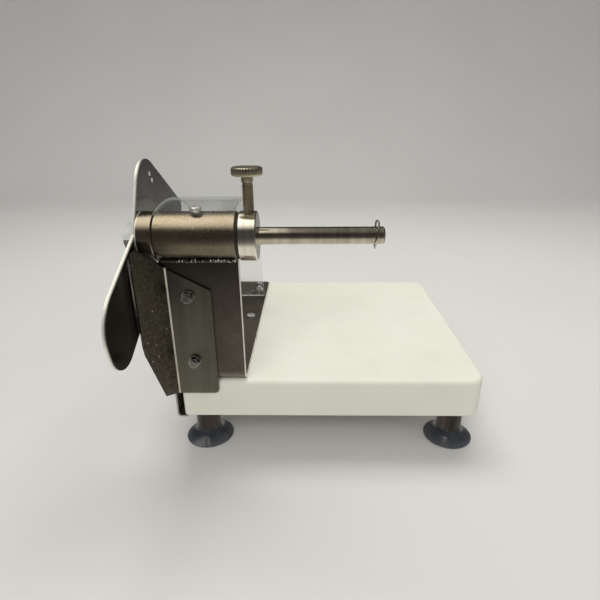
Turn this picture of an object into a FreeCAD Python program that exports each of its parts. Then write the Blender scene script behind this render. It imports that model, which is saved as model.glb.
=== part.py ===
import FreeCAD, Part
import math
import os
import Sketcher
from FreeCAD import Vector, Placement, Rotation

# Bench slicer on a polymer board: a lever and its shaft turn in a bearing tube welded to a
# bent channel, with a clear guard behind it and suction feet under the board.
# Sketches work with X to the right, Y away from the operator and Z up, from the board's left,
# front, bottom corner.  Each placement then moves by (-origin_x, -origin_y, +leg_reach), which
# puts the model's origin on the table plane, under the middle of the whole object.

os.makedirs("parts", exist_ok=True)
doc = FreeCAD.newDocument("bench_slicer")
sheet = doc.addObject("Spreadsheet::Sheet", "dims")

# Driving dimensions: alias, value in mm or degrees, what it measures
CELLS = [
    ("origin_x", "103.5", "model origin, from the board's left end"),
    ("origin_y", "77.2", "model origin, from the board's front face"),
    ("leg_reach", "32.5", "board underside above the table"),
    ("board_len", "234.5", "board, left to right"),
    ("board_dep", "225", "board, front to back"),
    ("board_thk", "32", "board thickness"),
    ("board_corner", "16", "plan radius of the board's right corners"),
    ("board_corner_left", "3", "plan radius of the board's left corners"),
    ("board_top_round", "4.5", "round along the board's top edges"),
    ("board_low_round", "1.5", "round along the board's bottom edges"),
    ("axis_y", "10", "shaft axis, from the board's front face"),
    ("axis_z", "142.5", "shaft axis, above the board's underside"),
    ("tube_r", "17", "bearing tube outside radius"),
    ("tube_bore_r", "13", "bearing tube bore radius"),
    ("tube_left", "-5.4", "left end of the bearing tube"),
    ("tube_right", "49.3", "right end of the bearing tube"),
    ("bush_flange_left", "0.6", "flange thickness of the left bush"),
    ("bush_flange_right", "1.6", "flange thickness of the right bush"),
    ("bush_flange_r", "16", "bush flange radius"),
    ("bush_len", "16", "length of a bush inside the tube"),
    ("bush_bore_r", "6.06", "bush bore radius"),
    ("shaft_r", "6", "shaft radius"),
    ("shaft_end", "150.1", "right end of the shaft"),
    ("head_flats", "18", "across flats of the shaft's hex head"),
    ("head_thk", "7.3", "thickness of the hex head"),
    ("washer_thk", "1.2", "thickness of the washer under the hex head"),
    ("washer_r", "12", "washer radius"),
    ("hub_len", "10.6", "length of the lever hub"),
    ("plate_thk", "2.4", "lever plate thickness"),
    ("lever_bore_r", "6.05", "running bore of the hub and lever plate"),
    ("collar_len", "12.3", "length of the lock collar"),
    ("collar_bore_r", "6.07", "collar bore radius"),
    ("stud_r", "3.85", "thumb screw thread radius"),
    ("stud_core_r", "3.2", "thumb screw thread root radius"),
    ("stud_pitch", "1.25", "thumb screw thread pitch"),
    ("stud_hole_r", "3.93", "hole for the thumb screw in the collar"),
    ("knob_r", "10.4", "thumb screw head radius"),
    ("knob_low", "182.8", "underside of the thumb screw head"),
    ("knob_thk", "5.8", "thickness of the thumb screw head"),
    ("sheet_thk", "1.5", "thickness of the channel and bracket sheet"),
    ("channel_left", "-2.5", "left edge of the channel's floor plate"),
    ("wall_left", "-5.3", "left edge of the channel's front wall"),
    ("wall_relief", "39", "where the front wall's wider part begins, above the underside"),
    ("channel_right", "50.6", "right edge of the channel"),
    ("channel_bend_r", "8", "outside bend radius of the channel"),
    ("wall_top", "127.6", "top of the channel's front wall"),
    ("floor_back", "221", "rear edge of the channel's floor plate"),
    ("flange_right", "29.4", "right edge of the guard bracket's flange"),
    ("wing_angle", "57", "turn of the bracket's wing towards the operator"),
    ("bend_x", "-0.8", "bend line of the front bracket"),
    ("wing_len", "25.7", "length of the bracket's wing from the bend"),
    ("fastener_x", "13.1", "bracket fasteners, from the board's left end"),
    ("fastener_low", "50.3", "lower bracket fastener, above the board's underside"),
    ("fastener_high", "101.8", "upper bracket fastener, above the board's underside"),
    ("guard_left", "-5.2", "left end of the clear guard"),
    ("guard_right", "48.6", "right end of the clear guard"),
    ("guard_thk", "2", "clear guard thickness"),
    ("leg_r", "10", "foot leg radius"),
    ("leg_len", "22.5", "foot leg length"),
    ("leg_left", "14", "left legs, from the board's left end"),
    ("leg_right", "215", "right legs, from the board's left end"),
    ("leg_front", "20", "front legs, from the board's front face"),
    ("leg_back", "205", "rear legs, from the board's front face"),
    ("cup_r", "19.4", "suction cup rim radius"),
    ("side_out", "-5.6", "outer face of the side plate"),
    ("side_thk", "1.2", "side plate thickness"),
    ("top_screw_x", "22.6", "the guard's top screw, from the board's left end"),
    ("side_top", "34", "top edge of the side plate above the board's underside"),
]
for row, (alias, cell_value, note) in enumerate(CELLS, start=1):
    sheet.set("A%d" % row, alias)
    sheet.set("B%d" % row, cell_value)
    sheet.setAlias("B%d" % row, alias)
    sheet.set("C%d" % row, note)
doc.recompute()
SIZE = {alias: float(sheet.get(alias)) for alias, _, _ in CELLS}


class Dim:
    """A dimension that carries both its cell expression and its value."""

    def __init__(self, text, value):
        self.text = text
        self.value = float(value)

    def _pair(self, other):
        return other if isinstance(other, Dim) else Dim(repr(float(other)), other)

    def __add__(self, other):
        other = self._pair(other)
        return Dim("(%s + %s)" % (self.text, other.text), self.value + other.value)

    __radd__ = __add__

    def __sub__(self, other):
        other = self._pair(other)
        return Dim("(%s - %s)" % (self.text, other.text), self.value - other.value)

    def __rsub__(self, other):
        return self._pair(other) - self

    def __mul__(self, other):
        other = self._pair(other)
        return Dim("(%s * %s)" % (self.text, other.text), self.value * other.value)

    def __truediv__(self, other):
        other = self._pair(other)
        return Dim("(%s / %s)" % (self.text, other.text), self.value / other.value)

    def __neg__(self):
        return Dim("(0 - %s)" % self.text, -self.value)


def dim(alias):
    return Dim("dims.%s" % alias, SIZE[alias])


def number(q):
    return q.value if isinstance(q, Dim) else float(q)


def bind(obj, prop, q):
    if isinstance(q, Dim):
        obj.setExpression(prop, q.text)


# ---------------------------------------------------------------- parts and bodies
PIECES = {}


def piece(obj, label):
    """Label an object and list it for export."""
    obj.Label = label
    PIECES[label] = obj


def put(obj, x=0.0, y=0.0, z=0.0, rot=None):
    """Place an object given in board-corner coordinates into the model frame."""
    base = (x - dim("origin_x"), y - dim("origin_y"), z + dim("leg_reach"))
    obj.Placement = Placement(Vector(*[q.value for q in base]), rot or Rotation())
    for axis, q in zip("xyz", base):
        bind(obj, "Placement.Base." + axis, q)
    return obj


def loose_body(name, label, x=0.0, y=0.0):
    """A body that goes into another object and isn't exported by itself."""
    body = doc.addObject("PartDesign::Body", name)
    put(body, x, y)
    body.Label = label
    return body


def new_body(label):
    body = loose_body("B_" + label, label)
    piece(body, label)
    return body


# ---------------------------------------------------------------- sketches
def hold(sk, geo, pos, x, y):
    """Two dimensions that hold a sketch point to the sketch's axes."""
    for kind, q, axis in (("DistanceX", x, -2), ("DistanceY", y, -1)):
        if number(q) == 0.0:
            sk.addConstraint(Sketcher.Constraint("PointOnObject", geo, pos, axis))
        else:
            i = sk.addConstraint(Sketcher.Constraint(kind, -1, 1, geo, pos, number(q)))
            bind(sk, "Constraints[%d]" % i, q)


def hold_radius(sk, geo, r):
    i = sk.addConstraint(Sketcher.Constraint("Radius", geo, number(r)))
    bind(sk, "Constraints[%d]" % i, r)


def flat(x, y):
    return Vector(number(x), number(y), 0)


def draw_circle(sk, x, y, r):
    circle = Part.Circle(flat(x, y), Vector(0, 0, 1), number(r))
    geo = sk.addGeometry(circle, False)
    hold(sk, geo, 3, x, y)
    hold_radius(sk, geo, r)


def draw_arc(sk, start, end, cx, cy, r, ccw):
    """Returns the arc with its point numbers at start and end."""
    centre = flat(cx, cy)
    first, last = [math.atan2(p.y - centre.y, p.x - centre.x) for p in (start, end)]
    if not ccw:
        first, last = last, first
    if last <= first:
        last += 2 * math.pi
    circle = Part.Circle(centre, Vector(0, 0, 1), number(r))
    geo = sk.addGeometry(Part.ArcOfCircle(circle, first, last), False)
    hold_radius(sk, geo, r)
    return (geo, 1, 2) if ccw else (geo, 2, 1)


def draw_path(sk, points):
    ends = []
    for k, (x, y, arc) in enumerate(points):
        next_x, next_y, _ = points[(k + 1) % len(points)]
        start, end = flat(x, y), flat(next_x, next_y)
        if arc is None:
            ends.append((sk.addGeometry(Part.LineSegment(start, end), False), 1, 2))
        else:
            ends.append(draw_arc(sk, start, end, *arc))
    for k, (geo, start_pos, end_pos) in enumerate(ends):
        next_geo, next_pos, _ = ends[(k + 1) % len(ends)]
        sk.addConstraint(Sketcher.Constraint("Coincident", geo, end_pos, next_geo, next_pos))
        hold(sk, geo, start_pos, points[k][0], points[k][1])


def sketch(body, name, role, level, loops):
    """A sketch on one of the body's origin planes, moved along the plane's normal.

    A loop is ("circle", x, y, r) or ("path", [(x, y, arc), ...]) where arc is None for a
    line to the next point, or (cx, cy, radius, ccw) for an arc to it."""
    sk = body.newObject("Sketcher::SketchObject", name)
    plane = [f for f in body.Origin.OriginFeatures if f.Role == role][0]
    sk.AttachmentSupport = [(plane, "")]
    sk.MapMode = "FlatFace"
    sk.AttachmentOffset = Placement(Vector(0, 0, number(level)), Rotation())
    bind(sk, "AttachmentOffset.Base.z", level)
    for kind, *data in loops:
        if kind == "circle":
            draw_circle(sk, *data)
        else:
            draw_path(sk, *data)
    return sk


def add_axis(sk, start, end):
    """A construction line to turn about."""
    geo = sk.addGeometry(Part.LineSegment(flat(*start), flat(*end)), True)
    hold(sk, geo, 1, *start)
    hold(sk, geo, 2, *end)


def poly(points):
    return ("path", [(x, y, None) for x, y in points])


def rect(x0, y0, x1, y1):
    return poly([(x0, y0), (x1, y0), (x1, y1), (x0, y1)])


def circles(spots, r):
    return [("circle", x, y, r) for x, y in spots]


def ring(outer_r, inner_r):
    """Two circles about the shaft axis."""
    return circles([(AXIS_Y, AXIS_Z)], outer_r) + circles([(AXIS_Y, AXIS_Z)], inner_r)


# ---------------------------------------------------------------- body features
PLANE = {"X": "YZ_Plane", "Y": "XZ_Plane", "Z": "XY_Plane"}


def extrude(body, kind, name, sk, length, reverse=False):
    f = body.newObject("PartDesign::" + kind, name)
    f.Profile = sk
    f.Type = 0
    f.Length = number(length)
    bind(f, "Length", length)
    f.Reversed = reverse
    sk.Visibility = False
    doc.recompute()
    return f


def turn(body, kind, name, sk, axis):
    f = body.newObject("PartDesign::" + kind, name)
    f.Profile = sk
    f.ReferenceAxis = (sk, [axis])
    f.Angle = 360
    doc.recompute()


def require_cut(body, name, before):
    if not body.Shape.Volume < before - 0.01:
        raise RuntimeError("%s removed nothing" % name)


def pad(body, name, axis, lo, hi, loops):
    """Material between lo and hi along an axis."""
    # The XZ plane's normal points to -Y, so its level is taken at the far side.
    level = -hi if axis == "Y" else lo
    sk = sketch(body, name + "_sketch", PLANE[axis], level, loops)
    extrude(body, "Pad", name, sk, hi - lo)


def pocket(body, name, axis, lo, hi, loops, from_low=False):
    """A cut between lo and hi; along X and Z it can start from the low end instead."""
    before = body.Shape.Volume
    level = -lo if axis == "Y" else lo if from_low else hi
    sk = sketch(body, name + "_sketch", PLANE[axis], level, loops)
    extrude(body, "Pocket", name, sk, hi - lo, from_low)
    require_cut(body, name, before)


# Edge selectors return edge numbers, counted from 1.
def straight_edges(shape, axis, spots):
    """Edges parallel to an axis that pass through points of the plane across it."""
    i = "XYZ".index(axis)
    others = [k for k in range(3) if k != i]
    found = []
    for n, edge in enumerate(shape.Edges, start=1):
        if edge.Curve.TypeId != "Part::GeomLine":
            continue
        start, end = edge.Vertexes[0].Point, edge.Vertexes[-1].Point
        if any(abs(start[k] - end[k]) > 1e-6 for k in others):
            continue
        for spot in spots:
            if all(abs(start[k] - number(q)) < 0.05 for k, q in zip(others, spot)):
                found.append(n)
    return found


def level_edges(shape, level):
    """Edges that lie at a height."""
    return [n for n, edge in enumerate(shape.Edges, start=1)
            if all(abs(v.Point.z - number(level)) < 1e-6 for v in edge.Vertexes)]


def circle_edges(shape, axis, level, radius):
    """Circles of a radius square to an axis, at a level along it."""
    i = "XYZ".index(axis)
    return [n for n, edge in enumerate(shape.Edges, start=1)
            if edge.Curve.TypeId == "Part::GeomCircle"
            and abs(edge.Curve.Radius - number(radius)) < 0.02
            and abs(edge.Curve.Center[i] - number(level)) < 0.02
            and abs(abs(edge.Curve.Axis[i]) - 1) < 1e-6]


def dress(body, kind, name, edges, size):
    """A Fillet or Chamfer on edges of the body's last feature."""
    if not edges:
        raise RuntimeError("%s has no edges" % name)
    base = body.Tip
    f = body.newObject("PartDesign::" + kind, name)
    f.Base = (base, ["Edge%d" % n for n in edges])
    prop = "Radius" if kind == "Fillet" else "Size"
    setattr(f, prop, number(size))
    bind(f, prop, size)
    doc.recompute()


# ---------------------------------------------------------------- primitives and fasteners
def cyl(name, r, length, x, y, z, rot=None):
    c = doc.addObject("Part::Cylinder", name)
    c.Radius = number(r)
    bind(c, "Radius", r)
    c.Height = number(length)
    bind(c, "Height", length)
    return put(c, x, y, z, rot)


def fuse(name, shapes):
    f = doc.addObject("Part::MultiFuse", name)
    f.Shapes = shapes
    return f


def cut(name, base, tool):
    c = doc.addObject("Part::Cut", name)
    c.Base = base
    c.Tool = tool
    return c


def drilled(label, blank, drills):
    """A part made from a blank body and drills."""
    tool = drills[0] if len(drills) == 1 else fuse(label + "_tools", drills)
    result = cut(label + "_cut", blank, tool)
    doc.recompute()
    piece(result, label)


def group(label, items):
    g = doc.addObject("Part::Compound", "G_" + label)
    g.Links = items
    doc.recompute()
    piece(g, label)


def pan_screw(name, x, y, z, rot, head_r, head_thk, shank_r, length):
    """Screw with its head's seat at (x, y, z); the head stands along the rotated +Z."""
    up = rot.multVec(Vector(0, 0, 1))
    shank = cyl(name + "_shank", shank_r, length,
                x - length * up.x, y - length * up.y, z - length * up.z, rot)
    head = cyl(name + "_head", head_r, head_thk, x, y, z, rot)
    doc.recompute()
    dome = doc.addObject("Part::Fillet", name + "_dome")
    dome.Base = head
    seat = head.Placement.Base
    top = [n for n, edge in enumerate(head.Shape.Edges, start=1)
           if edge.Curve.TypeId == "Part::GeomCircle"
           and (edge.Curve.Center - seat).Length > head_thk / 2]
    dome_r = head_thk * 0.6
    dome.Edges = [(top[0], dome_r, dome_r)]
    whole = fuse(name + "_whole", [dome, shank])
    # Cross recess: two crossed boxes, open at the top of the head
    slot_len, slot_width, slot_floor = head_r * 1.15, head_r * 0.24, head_thk * 0.55
    slots = []
    for k in range(2):
        slot = doc.addObject("Part::Box", "%s_slot%d" % (name, k))
        slot.Length = slot_len
        slot.Width = slot_width
        slot.Height = head_thk
        spin = rot.multiply(Rotation(Vector(0, 0, 1), 20 + 90 * k))
        corner = spin.multVec(Vector(-slot_len / 2, -slot_width / 2, slot_floor))
        slots.append(put(slot, x + corner.x, y + corner.y, z + corner.z, spin))
    return cut(name + "_cut", whole, fuse(name + "_slots", slots))


def screws(label, stem, seats, rot, **sizes):
    """One part of several equal screws."""
    group(label, [pan_screw("%s_%d" % (stem, k), *seat, rot, **sizes)
                  for k, seat in enumerate(seats)])


def hex_nut(name, x, y, z, rot, flats, thick, bore_r):
    prism = doc.addObject("Part::Prism", name + "_prism")
    prism.Polygon = 6
    prism.Circumradius = flats / 2 / COS30
    prism.Height = thick
    put(prism, x, y, z, rot)
    up = rot.multVec(Vector(0, 0, 1))
    bore = cyl(name + "_bore", bore_r, thick + 2, x - up.x, y - up.y, z - up.z, rot)
    return cut(name + "_cut", prism, bore)


# ---------------------------------------------------------------- shared places and sizes
COS30 = math.cos(math.radians(30))
CLEAR = 0.02                # gap that keeps neighbouring parts from sharing a face
AXIS_Y, AXIS_Z = dim("axis_y"), dim("axis_z")
SHEET = dim("sheet_thk")
BOARD_TOP = dim("board_thk")
FLOOR_TOP = BOARD_TOP + SHEET
WALL_TOP = dim("wall_top")

# Along the shaft, from the tube's left end outwards
HUB_RIGHT = dim("tube_left") - dim("bush_flange_left")
HUB_LEFT = HUB_RIGHT - dim("hub_len")
PLATE_LEFT = HUB_LEFT - dim("plate_thk")
HEAD_RIGHT = PLATE_LEFT - dim("washer_thk") - CLEAR
HEAD_LEFT = HEAD_RIGHT - dim("head_thk")
# and from its right end outwards
COLLAR_LEFT = dim("tube_right") + dim("bush_flange_right")
COLLAR_RIGHT = COLLAR_LEFT + dim("collar_len")
THUMB_X = COLLAR_LEFT + dim("collar_len") / 2 + 0.55
CLIP_X = dim("shaft_end") - 6.4

# Rotations that turn +Z to the named direction
UP = Rotation()
DOWN = Rotation(Vector(1, 0, 0), 180)
FRONT = Rotation(Vector(1, 0, 0), 90)
BACK = Rotation(Vector(1, 0, 0), -90)

# The clear guard's outer face in (Y, Z): one arc from above the tube to the rear, then a
# straight slope.  Angles run from +Y towards +Z.
ARC_CENTRE = (33.0, 33.8)
ARC_R = 130.16
ARC_START, ARC_END = 103.8, 21.8
SLOPE_COS, SLOPE_SIN = math.cos(math.radians(ARC_END)), math.sin(math.radians(ARC_END))


def arc_point(degrees):
    angle = math.radians(degrees)
    return (ARC_CENTRE[0] + ARC_R * math.cos(angle), ARC_CENTRE[1] + ARC_R * math.sin(angle))


GUARD_START = arc_point(ARC_START)
GUARD_KNEE = arc_point(ARC_END)
GUARD_LOW_Z = FLOOR_TOP.value + 1.7
GUARD_LOW = (GUARD_KNEE[0] + (GUARD_KNEE[1] - GUARD_LOW_Z) * SLOPE_SIN / SLOPE_COS, GUARD_LOW_Z)


def slope_point(along, out):
    """A point up the slope from the guard's lower outer corner, and outwards from its face."""
    return (GUARD_LOW[0] - along * SLOPE_SIN + out * SLOPE_COS,
            GUARD_LOW[1] + along * SLOPE_COS + out * SLOPE_SIN)


def slope_at_level(out, z):
    """Where a line parallel to the slope, at a distance outwards from it, meets a level."""
    return slope_point((z - GUARD_LOW[1] - out * SLOPE_SIN) / SLOPE_COS, out)


SLOPE_NORMAL = Vector(0, SLOPE_COS, SLOPE_SIN)
SLOPE_OUT = Rotation(Vector(0, 0, 1), SLOPE_NORMAL)
SLOPE_IN = Rotation(Vector(0, 0, 1), SLOPE_NORMAL * -1)
GUARD_SCREW_X = [6.0, 44.2]
GUARD_SCREW_ALONG = 11.6     # up the slope from the guard's lower outer corner

# The top screw stands square to the guard, on the line from the arc's centre to the tube's.
CENTRES_Y, CENTRES_Z = AXIS_Y.value - ARC_CENTRE[0], AXIS_Z.value - ARC_CENTRE[1]
CENTRES_APART = math.hypot(CENTRES_Y, CENTRES_Z)
LINE_COS, LINE_SIN = CENTRES_Y / CENTRES_APART, CENTRES_Z / CENTRES_APART
SQUARE = Rotation(Vector(0, 0, 1), Vector(0, LINE_COS, LINE_SIN))


def top_screw_spot(distance):
    """A point on the top screw's line at a distance from the tube's axis."""
    return dim("top_screw_x"), AXIS_Y + distance * LINE_COS, AXIS_Z + distance * LINE_SIN


# Angle strip behind the guard's lower edge
STRIP_THK = 1.5
STRIP_GAP = 0.05             # between the guard and the strip
STRIP_UNDER = FLOOR_TOP.value + CLEAR
STRIP_HEEL = slope_at_level(STRIP_GAP, STRIP_UNDER)
STRIP_INNER_HEEL = slope_at_level(STRIP_GAP + STRIP_THK, STRIP_UNDER + STRIP_THK)
STRIP_REAR = STRIP_HEEL[0] + 16.0
STRIP_SCREW_Y = (STRIP_REAR + STRIP_INNER_HEEL[0]) / 2

# Fastener and leg places: (x, y)
FLOOR_SPOTS = [(40.0, 117.0), (8.0, 117.0), (40.0, 211.0), (8.0, 211.0)]
STRIP_SPOTS = [(12.0, STRIP_SCREW_Y), (34.0, STRIP_SCREW_Y)]
SIDE_SPOTS = [(13.0, 62.0), (13.0, 112.0), (13.0, 162.0)]
LEG_SPOTS = [(dim(x), dim(y)) for y in ("leg_front", "leg_back") for x in ("leg_left", "leg_right")]
# Front bracket fasteners: (x, z)
BRACKET_SPOTS = [(dim("fastener_x"), dim(z)) for z in ("fastener_low", "fastener_high")]

BOARD_SCREW_R = 1.65         # shank of the screws that go into the board
PILOT_R = 1.75               # their holes in the board
GUARD_SCREW_R = 1.95
SHEET_HOLE_R = 2.2
BRACKET_HOLE_R = 2.7


# ---------------------------------------------------------------- board and channel
def cutting_board():
    length, depth = dim("board_len"), dim("board_dep")
    screw_depth, under_depth, leg_hole_r = 16.0, 14.0, 3.05
    body = new_body("cutting_board")
    pad(body, "slab", "Z", 0.0, BOARD_TOP, [rect(0.0, 0.0, length, depth)])
    for name, x, radius in (("right_corners", length, dim("board_corner")),
                            ("left_corners", 0.0, dim("board_corner_left"))):
        corners = straight_edges(body.Tip.Shape, "Z", [(x, 0.0), (x, depth)])
        dress(body, "Fillet", name, corners, radius)
    for name, level, radius in (("top_round", BOARD_TOP, dim("board_top_round")),
                                ("low_round", 0.0, dim("board_low_round"))):
        dress(body, "Fillet", name, level_edges(body.Tip.Shape, level), radius)
    pocket(body, "screw_holes", "Z", BOARD_TOP - screw_depth, BOARD_TOP,
           circles(FLOOR_SPOTS + STRIP_SPOTS, PILOT_R))
    pocket(body, "under_holes", "Z", 0.0, under_depth,
           circles(LEG_SPOTS, leg_hole_r) + circles(SIDE_SPOTS, PILOT_R), from_low=True)


def channel_frame():
    """One bent sheet: front wall, bend, floor plate lying on the board."""
    bend_r = dim("channel_bend_r")
    bend_z = BOARD_TOP + bend_r
    left, right, back = dim("channel_left"), dim("channel_right"), dim("floor_back")
    body = new_body("channel_frame")
    pad(body, "bent_sheet", "X", dim("wall_left"), right, [("path", [
        (0.0, bend_z, None),
        (0.0, WALL_TOP, None),
        (SHEET, WALL_TOP, None),
        (SHEET, bend_z, (bend_r, bend_z, bend_r - SHEET, True)),
        (bend_r, FLOOR_TOP, None),
        (back, FLOOR_TOP, None),
        (back, BOARD_TOP, None),
        (bend_r, BOARD_TOP, (bend_r, bend_z, bend_r, False)),
    ])])
    pocket(body, "left_relief", "Y", -2.0, back + 2.0,
           [rect(dim("wall_left") - 1.0, BOARD_TOP - 1.0, left, dim("wall_relief"))])
    corners = straight_edges(body.Tip.Shape, "Z", [(right, back), (left, back)])
    dress(body, "Fillet", "rear_corners", corners, 6.0)
    pocket(body, "bracket_holes", "Y", -1.0, 6.0, circles(BRACKET_SPOTS, BRACKET_HOLE_R))
    pocket(body, "floor_holes", "Z", BOARD_TOP - 1.0, BOARD_TOP + 4.0,
           circles(FLOOR_SPOTS + STRIP_SPOTS, SHEET_HOLE_R))
    screws("floor_screws", "floor_screw", [(x, y, FLOOR_TOP + 0.01) for x, y in FLOOR_SPOTS],
           UP, head_r=4.4, head_thk=2.5, shank_r=BOARD_SCREW_R, length=15.0)


# ---------------------------------------------------------------- bearing
def bearing_tube():
    left, right, radius = dim("tube_left"), dim("tube_right"), dim("tube_r")
    body = loose_body("B_bearing_tube", "bearing_tube_blank")
    pad(body, "tube", "X", left, right, ring(radius, dim("tube_bore_r")))
    shape = body.Tip.Shape
    rims = circle_edges(shape, "X", left, radius) + circle_edges(shape, "X", right, radius)
    dress(body, "Chamfer", "tube_ends", rims, 0.5)
    drill_from, drill_to = 5.0, 22.0
    drill = cyl("tube_drill", 2.05, drill_to - drill_from, *top_screw_spot(drill_from), SQUARE)
    drilled("bearing_tube", body, [drill])


def tube_weld():
    """Weld beads between the front wall and the tube, in front of the wall and behind it."""
    wall_front, wall_rear = -CLEAR, SHEET + CLEAR
    # Sections: (y, z)
    front = [
        (wall_front, WALL_TOP - 1.8), (wall_front, WALL_TOP + 0.9), (-2.4, WALL_TOP + 2.75),
        (-1.9, WALL_TOP + 0.2), (-1.0, WALL_TOP - 1.0),
    ]
    rear = [
        (wall_rear, WALL_TOP - 2.0), (SHEET + 1.2, WALL_TOP - 1.5),
        (SHEET + 3.0, WALL_TOP - 1.35), (wall_rear, WALL_TOP + 0.05),
    ]
    beads = []
    for stem, name, section in (("tube_weld", "front_bead", front),
                                ("tube_weld_rear", "rear_bead", rear)):
        body = loose_body("B_" + stem, stem + "_bead")
        pad(body, name, "X", dim("wall_left") + 1.0, dim("channel_right") - 1.6,
            [poly(section)])
        beads.append(body)
    # Each bead carries its own Placement, so the group itself stays at zero.
    group("tube_weld", beads)


def bush(label, sleeve, flange):
    """A flanged bush; sleeve and flange are (left, right)."""
    bore_r = dim("bush_bore_r")
    body = new_body(label)
    pad(body, "sleeve", "X", *sleeve, ring(dim("tube_bore_r") - CLEAR, bore_r))
    pad(body, "flange", "X", *flange, ring(dim("bush_flange_r"), bore_r))


def bushes():
    left, right, length = dim("tube_left"), dim("tube_right"), dim("bush_len")
    bush("left_bush", (left, left + length), (HUB_RIGHT + CLEAR, left))
    bush("right_bush", (right - length, right), (right, COLLAR_LEFT - CLEAR))


# ---------------------------------------------------------------- lever
def lever_hub():
    body = new_body("lever_hub")
    pad(body, "hub", "X", HUB_LEFT, HUB_RIGHT, ring(dim("tube_r"), dim("lever_bore_r")))
    rim = circle_edges(body.Tip.Shape, "X", HUB_RIGHT, dim("tube_r"))
    dress(body, "Chamfer", "hub_edge", rim, 0.5)


# Lever plate corners: (y, z, rounding radius), clockwise seen from the right
LEVER = [
    (-4.6, 146.8, 3.0),    # notch between the lobes, over the hub's rim
    (24.8, 200.6, 22.0),   # top of the rear lobe
    (119.0, 145.0, 7.0),   # tip of the rear lobe
    (86.0, 127.5, 60.0),   # belly of the rear lobe's lower edge
    (33.0, 119.5, 14.0),   # inner corner below the hub
    (12.0, 99.0, 14.0),    # heel of the front lobe
    (-60.5, 63.5, 20.0),   # paddle, lower corner
    (-72.5, 113.4, 26.0),  # paddle, upper corner
]
LEVER_SMALL_HOLES = [(39.0, 181.8), (42.6, 176.8)]   # (y, z)


def lever_plate():
    """Two-lobed plate on the hub's left end."""
    body = new_body("lever_plate")
    pad(body, "outline", "X", PLATE_LEFT, HUB_LEFT, [poly([(y, z) for y, z, _ in LEVER])])
    for k, (y, z, radius) in enumerate(LEVER):
        corner = straight_edges(body.Tip.Shape, "X", [(y, z)])
        dress(body, "Fillet", "corner_%d" % k, corner, radius)
    lo, hi = PLATE_LEFT - 1.0, HUB_LEFT + 1.0
    pocket(body, "bore", "X", lo, hi, circles([(AXIS_Y, AXIS_Z)], dim("lever_bore_r")))
    pocket(body, "small_holes", "X", lo, hi, circles(LEVER_SMALL_HOLES, 1.1))


# ---------------------------------------------------------------- shaft, washer, clip
def shaft_bolt():
    flats, radius, end = dim("head_flats"), dim("shaft_r"), dim("shaft_end")
    body = new_body("shaft_bolt")
    corners = []
    for k in range(6):
        angle = math.radians(60 * k)
        corners.append((AXIS_Y + flats * (math.cos(angle) / 2 / COS30),
                        AXIS_Z + flats * (math.sin(angle) / 2 / COS30)))
    pad(body, "hex_head", "X", HEAD_LEFT, HEAD_RIGHT, [poly(corners)])
    pad(body, "shank", "X", HEAD_RIGHT, end, circles([(AXIS_Y, AXIS_Z)], radius))
    dress(body, "Chamfer", "end_chamfer", circle_edges(body.Tip.Shape, "X", end, radius), 1.0)
    pocket(body, "clip_hole", "Z", AXIS_Z - 8.0, AXIS_Z + 8.0,
           circles([(CLIP_X, AXIS_Y)], 0.85))

    # Bevel round the outer corners of the hex head: a triangle in (x, z), turned
    outside, bevel_end = HEAD_LEFT - 0.5, HEAD_LEFT + 2.0
    bevel_low, bevel_high = AXIS_Z + flats * 0.455, AXIS_Z + flats * 0.70
    sk = sketch(body, "bevel_sketch", "XZ_Plane", -AXIS_Y, [poly([
        (outside, bevel_low), (outside, bevel_high), (bevel_end, bevel_high)])])
    add_axis(sk, (HEAD_LEFT - 5.0, AXIS_Z), (HEAD_LEFT + 5.0, AXIS_Z))
    before = body.Shape.Volume
    turn(body, "Groove", "head_bevel", sk, "Axis0")
    require_cut(body, "head_bevel", before)


def head_washer():
    body = new_body("head_washer")
    pad(body, "disc", "X", HEAD_RIGHT + 0.01, PLATE_LEFT - 0.01,
        ring(dim("washer_r"), dim("shaft_r") + 0.3))


# Clip wire's centre line: (x, y, z) from the shaft's axis at the clip hole.
# The first two points end the straight leg; a curve runs from the second to the last.
CLIP_LINE = [
    (0.0, 0.0, -7.7), (0.0, 0.0, 6.9), (0.1, -0.1, 8.6), (0.5, -0.7, 10.1),
    (1.2, -1.7, 10.4), (1.7, -3.0, 9.2), (1.6, -4.7, 6.7), (1.3, -6.2, 4.0),
    (1.0, -7.0, 1.0), (0.5, -6.95, -1.4), (0.0, -6.0, -4.2), (-0.3, -4.9, -6.7),
    (-0.45, -4.4, -7.9),
]


def end_clip():
    """Wire with one leg through the shaft, a loop above, the other leg across the front."""
    wire_r = 0.65
    points = [Vector(CLIP_X.value + x, AXIS_Y.value + y, AXIS_Z.value + z)
              for x, y, z in CLIP_LINE]
    curve = Part.BSplineCurve()
    curve.interpolate(points[1:])
    spine = Part.Wire([Part.makeLine(points[0], points[1]), curve.toShape()])
    section = Part.Wire([Part.makeCircle(wire_r, points[0], Vector(0, 0, 1))])
    clip = doc.addObject("Part::Feature", "clip_wire")
    clip.Shape = Part.Wire(spine.Edges).makePipeShell([section], True, False)
    piece(put(clip), "end_clip")


# ---------------------------------------------------------------- lock collar, thumb screw
def lock_collar():
    radius = dim("tube_r")
    body = new_body("lock_collar")
    pad(body, "ring", "X", COLLAR_LEFT, COLLAR_RIGHT, ring(radius, dim("collar_bore_r")))
    rims = [n for level in (COLLAR_LEFT, COLLAR_RIGHT)
            for n in circle_edges(body.Tip.Shape, "X", level, radius)]
    dress(body, "Chamfer", "ring_edges", rims, 0.7)
    pocket(body, "screw_hole", "Z", AXIS_Z + 3.0, AXIS_Z + 20.0,
           circles([(THUMB_X, AXIS_Y)], dim("stud_hole_r")))


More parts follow.
